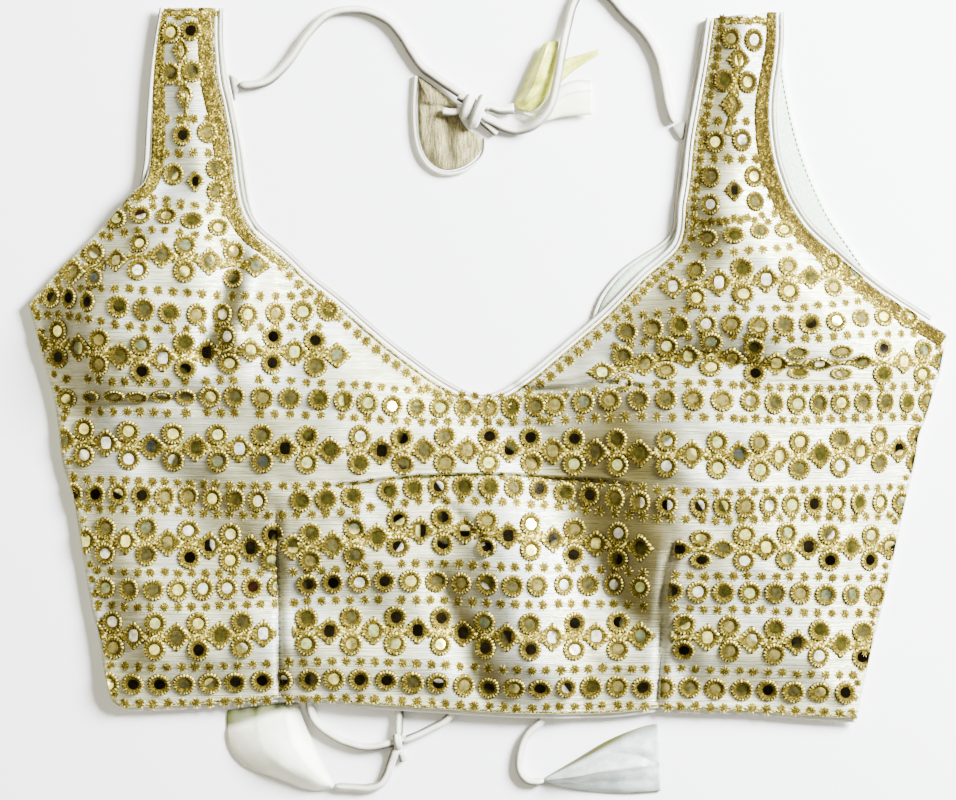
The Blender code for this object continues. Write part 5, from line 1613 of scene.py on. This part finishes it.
def leaf(row):
    """Leaf surface: the arch of the solids with its folds; painted shade in folds and at edges."""
    left = even_stops(smooth_run(row["left"]), LEAF_ROWS)[:, None, :]
    right = even_stops(smooth_run(row["right"]), LEAF_ROWS)[:, None, :]
    run = np.linspace(0, 1, LEAF_ROWS + 1)[:, None]
    across = np.linspace(-1, 1, LEAF_COLUMNS + 1)[None, :]
    place = left + (right - left) * ((across + 1) / 2)[..., None]
    arch = row["crest"] * (1 - across ** 2) * np.sin(math.pi * (0.12 + 0.83 * run))
    folds = pressed_folds(LEAF_FOLDS[row["name"]], run, across) * (1 - across ** 6)
    folds = folds + 0.25 * soft_noise(place[..., 0], place[..., 1], 7.0) * (1 - across ** 4)
    z = row["floor"] + 1.2 + (arch + folds * ease(run / 0.2)) * ease((1.06 - run) / 0.20)
    # Painted shade at both edges, at the end gathered into the cord, and along each fold
    shade = 0.50 * ease((np.abs(across) - 0.74) / 0.26) + 0.5 * ease((0.10 - run) / 0.10)
    for stations, places, height, _, _ in LEAF_FOLDS[row["name"]]:
        gap = across - np.interp(run, stations, places) - (0.03 if height > 0 else 0.0)
        shade = shade + 0.42 * np.exp(-(gap / 0.06) ** 2) * ease((run - stations[0]) / 0.2)
    if row["name"] == "latkan_hem_left":
        (ax, ay), (bx, by) = HEM_SHADE
        above = ((bx - ax) * (place[..., 1] - ay) - (by - ay) * (place[..., 0] - ax)) / math.hypot(
            bx - ax, by - ay)
        # Painted shadow of the hem over the top of the leaf
        shade = shade * (1 - 0.7 * ease(above / 1.0)) * 0.7 + 0.915 * ease((above + 0.8) / 4.4)
        z = z - 0.65 * ease(above / 1.2)
    if row["name"] == "latkan_hem_right":
        # Painted shade along the upper edge
        shade = shade + 0.9 * ease((-0.62 - across) / 0.26) * ease((1.15 - run) / 0.8)
    points = np.concatenate([place, z[..., None]], axis=-1)
    (ax, ay), (bx, by) = place[-1, -1] - place[-1, 0], place[-1, 0] - place[0, 0]
    turns_back = ax * by - ay * bx < 0
    width = np.linalg.norm(np.diff(points, axis=1), axis=2).sum(axis=1)
    length = np.linalg.norm(np.diff(points, axis=0), axis=2).sum(axis=0)
    cloth = piece(row["name"] + "_satin", points.reshape(-1, 3),
                  grid_quads(*z.shape, flip=bool(turns_back)), LEAF_SATIN[row["name"]],
                  [row["name"]], {"shade": np.clip(shade, 0, 1).ravel()})
    solidify(cloth, LEAF_WALL)
    area = float(width.mean() * length.mean()) * MM ** 2
    flat = (max(0.0102, float(width.max()) * MM), float(length.max()) * MM)
    area = min(area, flat[0] * flat[1])
    print("%s: cut %.0f x %.0f mm" % (row["name"], flat[0] / MM, flat[1] / MM))
    return cloth


leaves = {row["name"]: leaf(row) for row in LEAVES}

# Hand weave: streak colours and the colour of its painted shade
WEAVE = woven("hand_weave", (0.13, 0.11, 0.035), (0.42, 0.365, 0.18), (1100, 170, 300),
              (1500, 2600, 2000), 0.9, (0.085, 0.060, 0.022), Roughness=0.85)
# The flap's lower edge, the middle of the drop, where its crease runs, and rows of its grid
FLAP = [(-32.4, 131.1), (-14.2, 128.6)]
DROP_MIDDLE, CREASE_X, DROP_ROWS = np.array([-22.5, 118.0]), -19.6, 30
outline = even_stops(smooth_run(TEARDROP[1:] + TEARDROP[:2], 6), 96)[:-1]
share = np.linspace(0.02, 1, DROP_ROWS)[::-1][:, None]
drop = DROP_MIDDLE + (outline[None] - DROP_MIDDLE) * share[..., None]
past = drop[..., 1] - np.interp(drop[..., 0], *zip(*FLAP))
below = 1 - ease(past / 0.8)
inside = 1 - share ** 6
gather = (-0.9 * np.exp(-((drop[..., 0] - CREASE_X) / 2.4) ** 2) * below
          + 0.5 * np.sin(drop[..., 0] / 1.7 + drop[..., 1] / 30) * below
          + 0.9 * ease(past / 0.8))
puff = 0.1 + (2.3 + gather) * inside
# Painted shade in the crease and along the flap's fold; the flap is darker all over too
shade = (0.55 * np.exp(-((drop[..., 0] - CREASE_X) / 2.2) ** 2) * below + 0.50 * ease(past / 0.8)
         + 0.45 * np.exp(-((past + 0.3) / 0.6) ** 2)) * inside
top = np.concatenate([drop, puff[..., None]], axis=-1)
clockwise = signed_area(outline) < 0
size = len(outline)
upper = list(grid_quads(DROP_ROWS, size, flip=bool(clockwise), wrap=True))
outer, inner = end_rows(DROP_ROWS, size)
caps = [inner[::-1], outer] if clockwise else [inner, outer[::-1]]
woven_drop = piece("woven_drop", top.reshape(-1, 3), upper + caps, WEAVE,
                   ["latkan_teardrop"], {"shade": np.clip(shade, 0, 1).ravel()})
rim = smooth_run(TEARDROP[PIPING_FROM:] + TEARDROP[:1])
rim = level_line(offset_line(rim, TEARDROP_PIPING + SEAM_GAP + 0.15), 1.2, TEARDROP_PIPING + 0.1)
# The knot pulls the piping thin at its right end
taper = 0.40 + 0.60 * ease((length_along(rim) - 9.0) / 13.0)
rim[:, 2] = TEARDROP_PIPING * taper + 0.1
tube_piece("woven_drop_piping", rim, 0.88 * TEARDROP_PIPING * taper,
           ["latkan_teardrop_piping"])

cord_piece("hem_cord_left_end", [(-45.8, -190.8, 3.2)] + TIE_LEFT_END, TIE_RADIUS,
           "hem_tie_left_end")
cord_piece("hem_cord_right", TIE_RIGHT, TIE_RADIUS, "hem_tie_right")
print("latkans ready")

# %% [markdown]
# ## Table
# The blouse lies on a plain white table.

# %% Table
TABLE = blank("white_table", Base_Color=(0.95, 0.95, 0.95, 1.0), Roughness=0.9)[0]
table_mesh = bpy.data.meshes.new("table")
table_mesh.from_pydata([(-3, -3, 0), (3, -3, 0), (3, 3, 0), (-3, 3, 0)], [], [(0, 1, 2, 3)])
table = bpy.data.objects.new("table", table_mesh)
table_mesh.materials.append(TABLE)
bpy.context.scene.collection.objects.link(table)
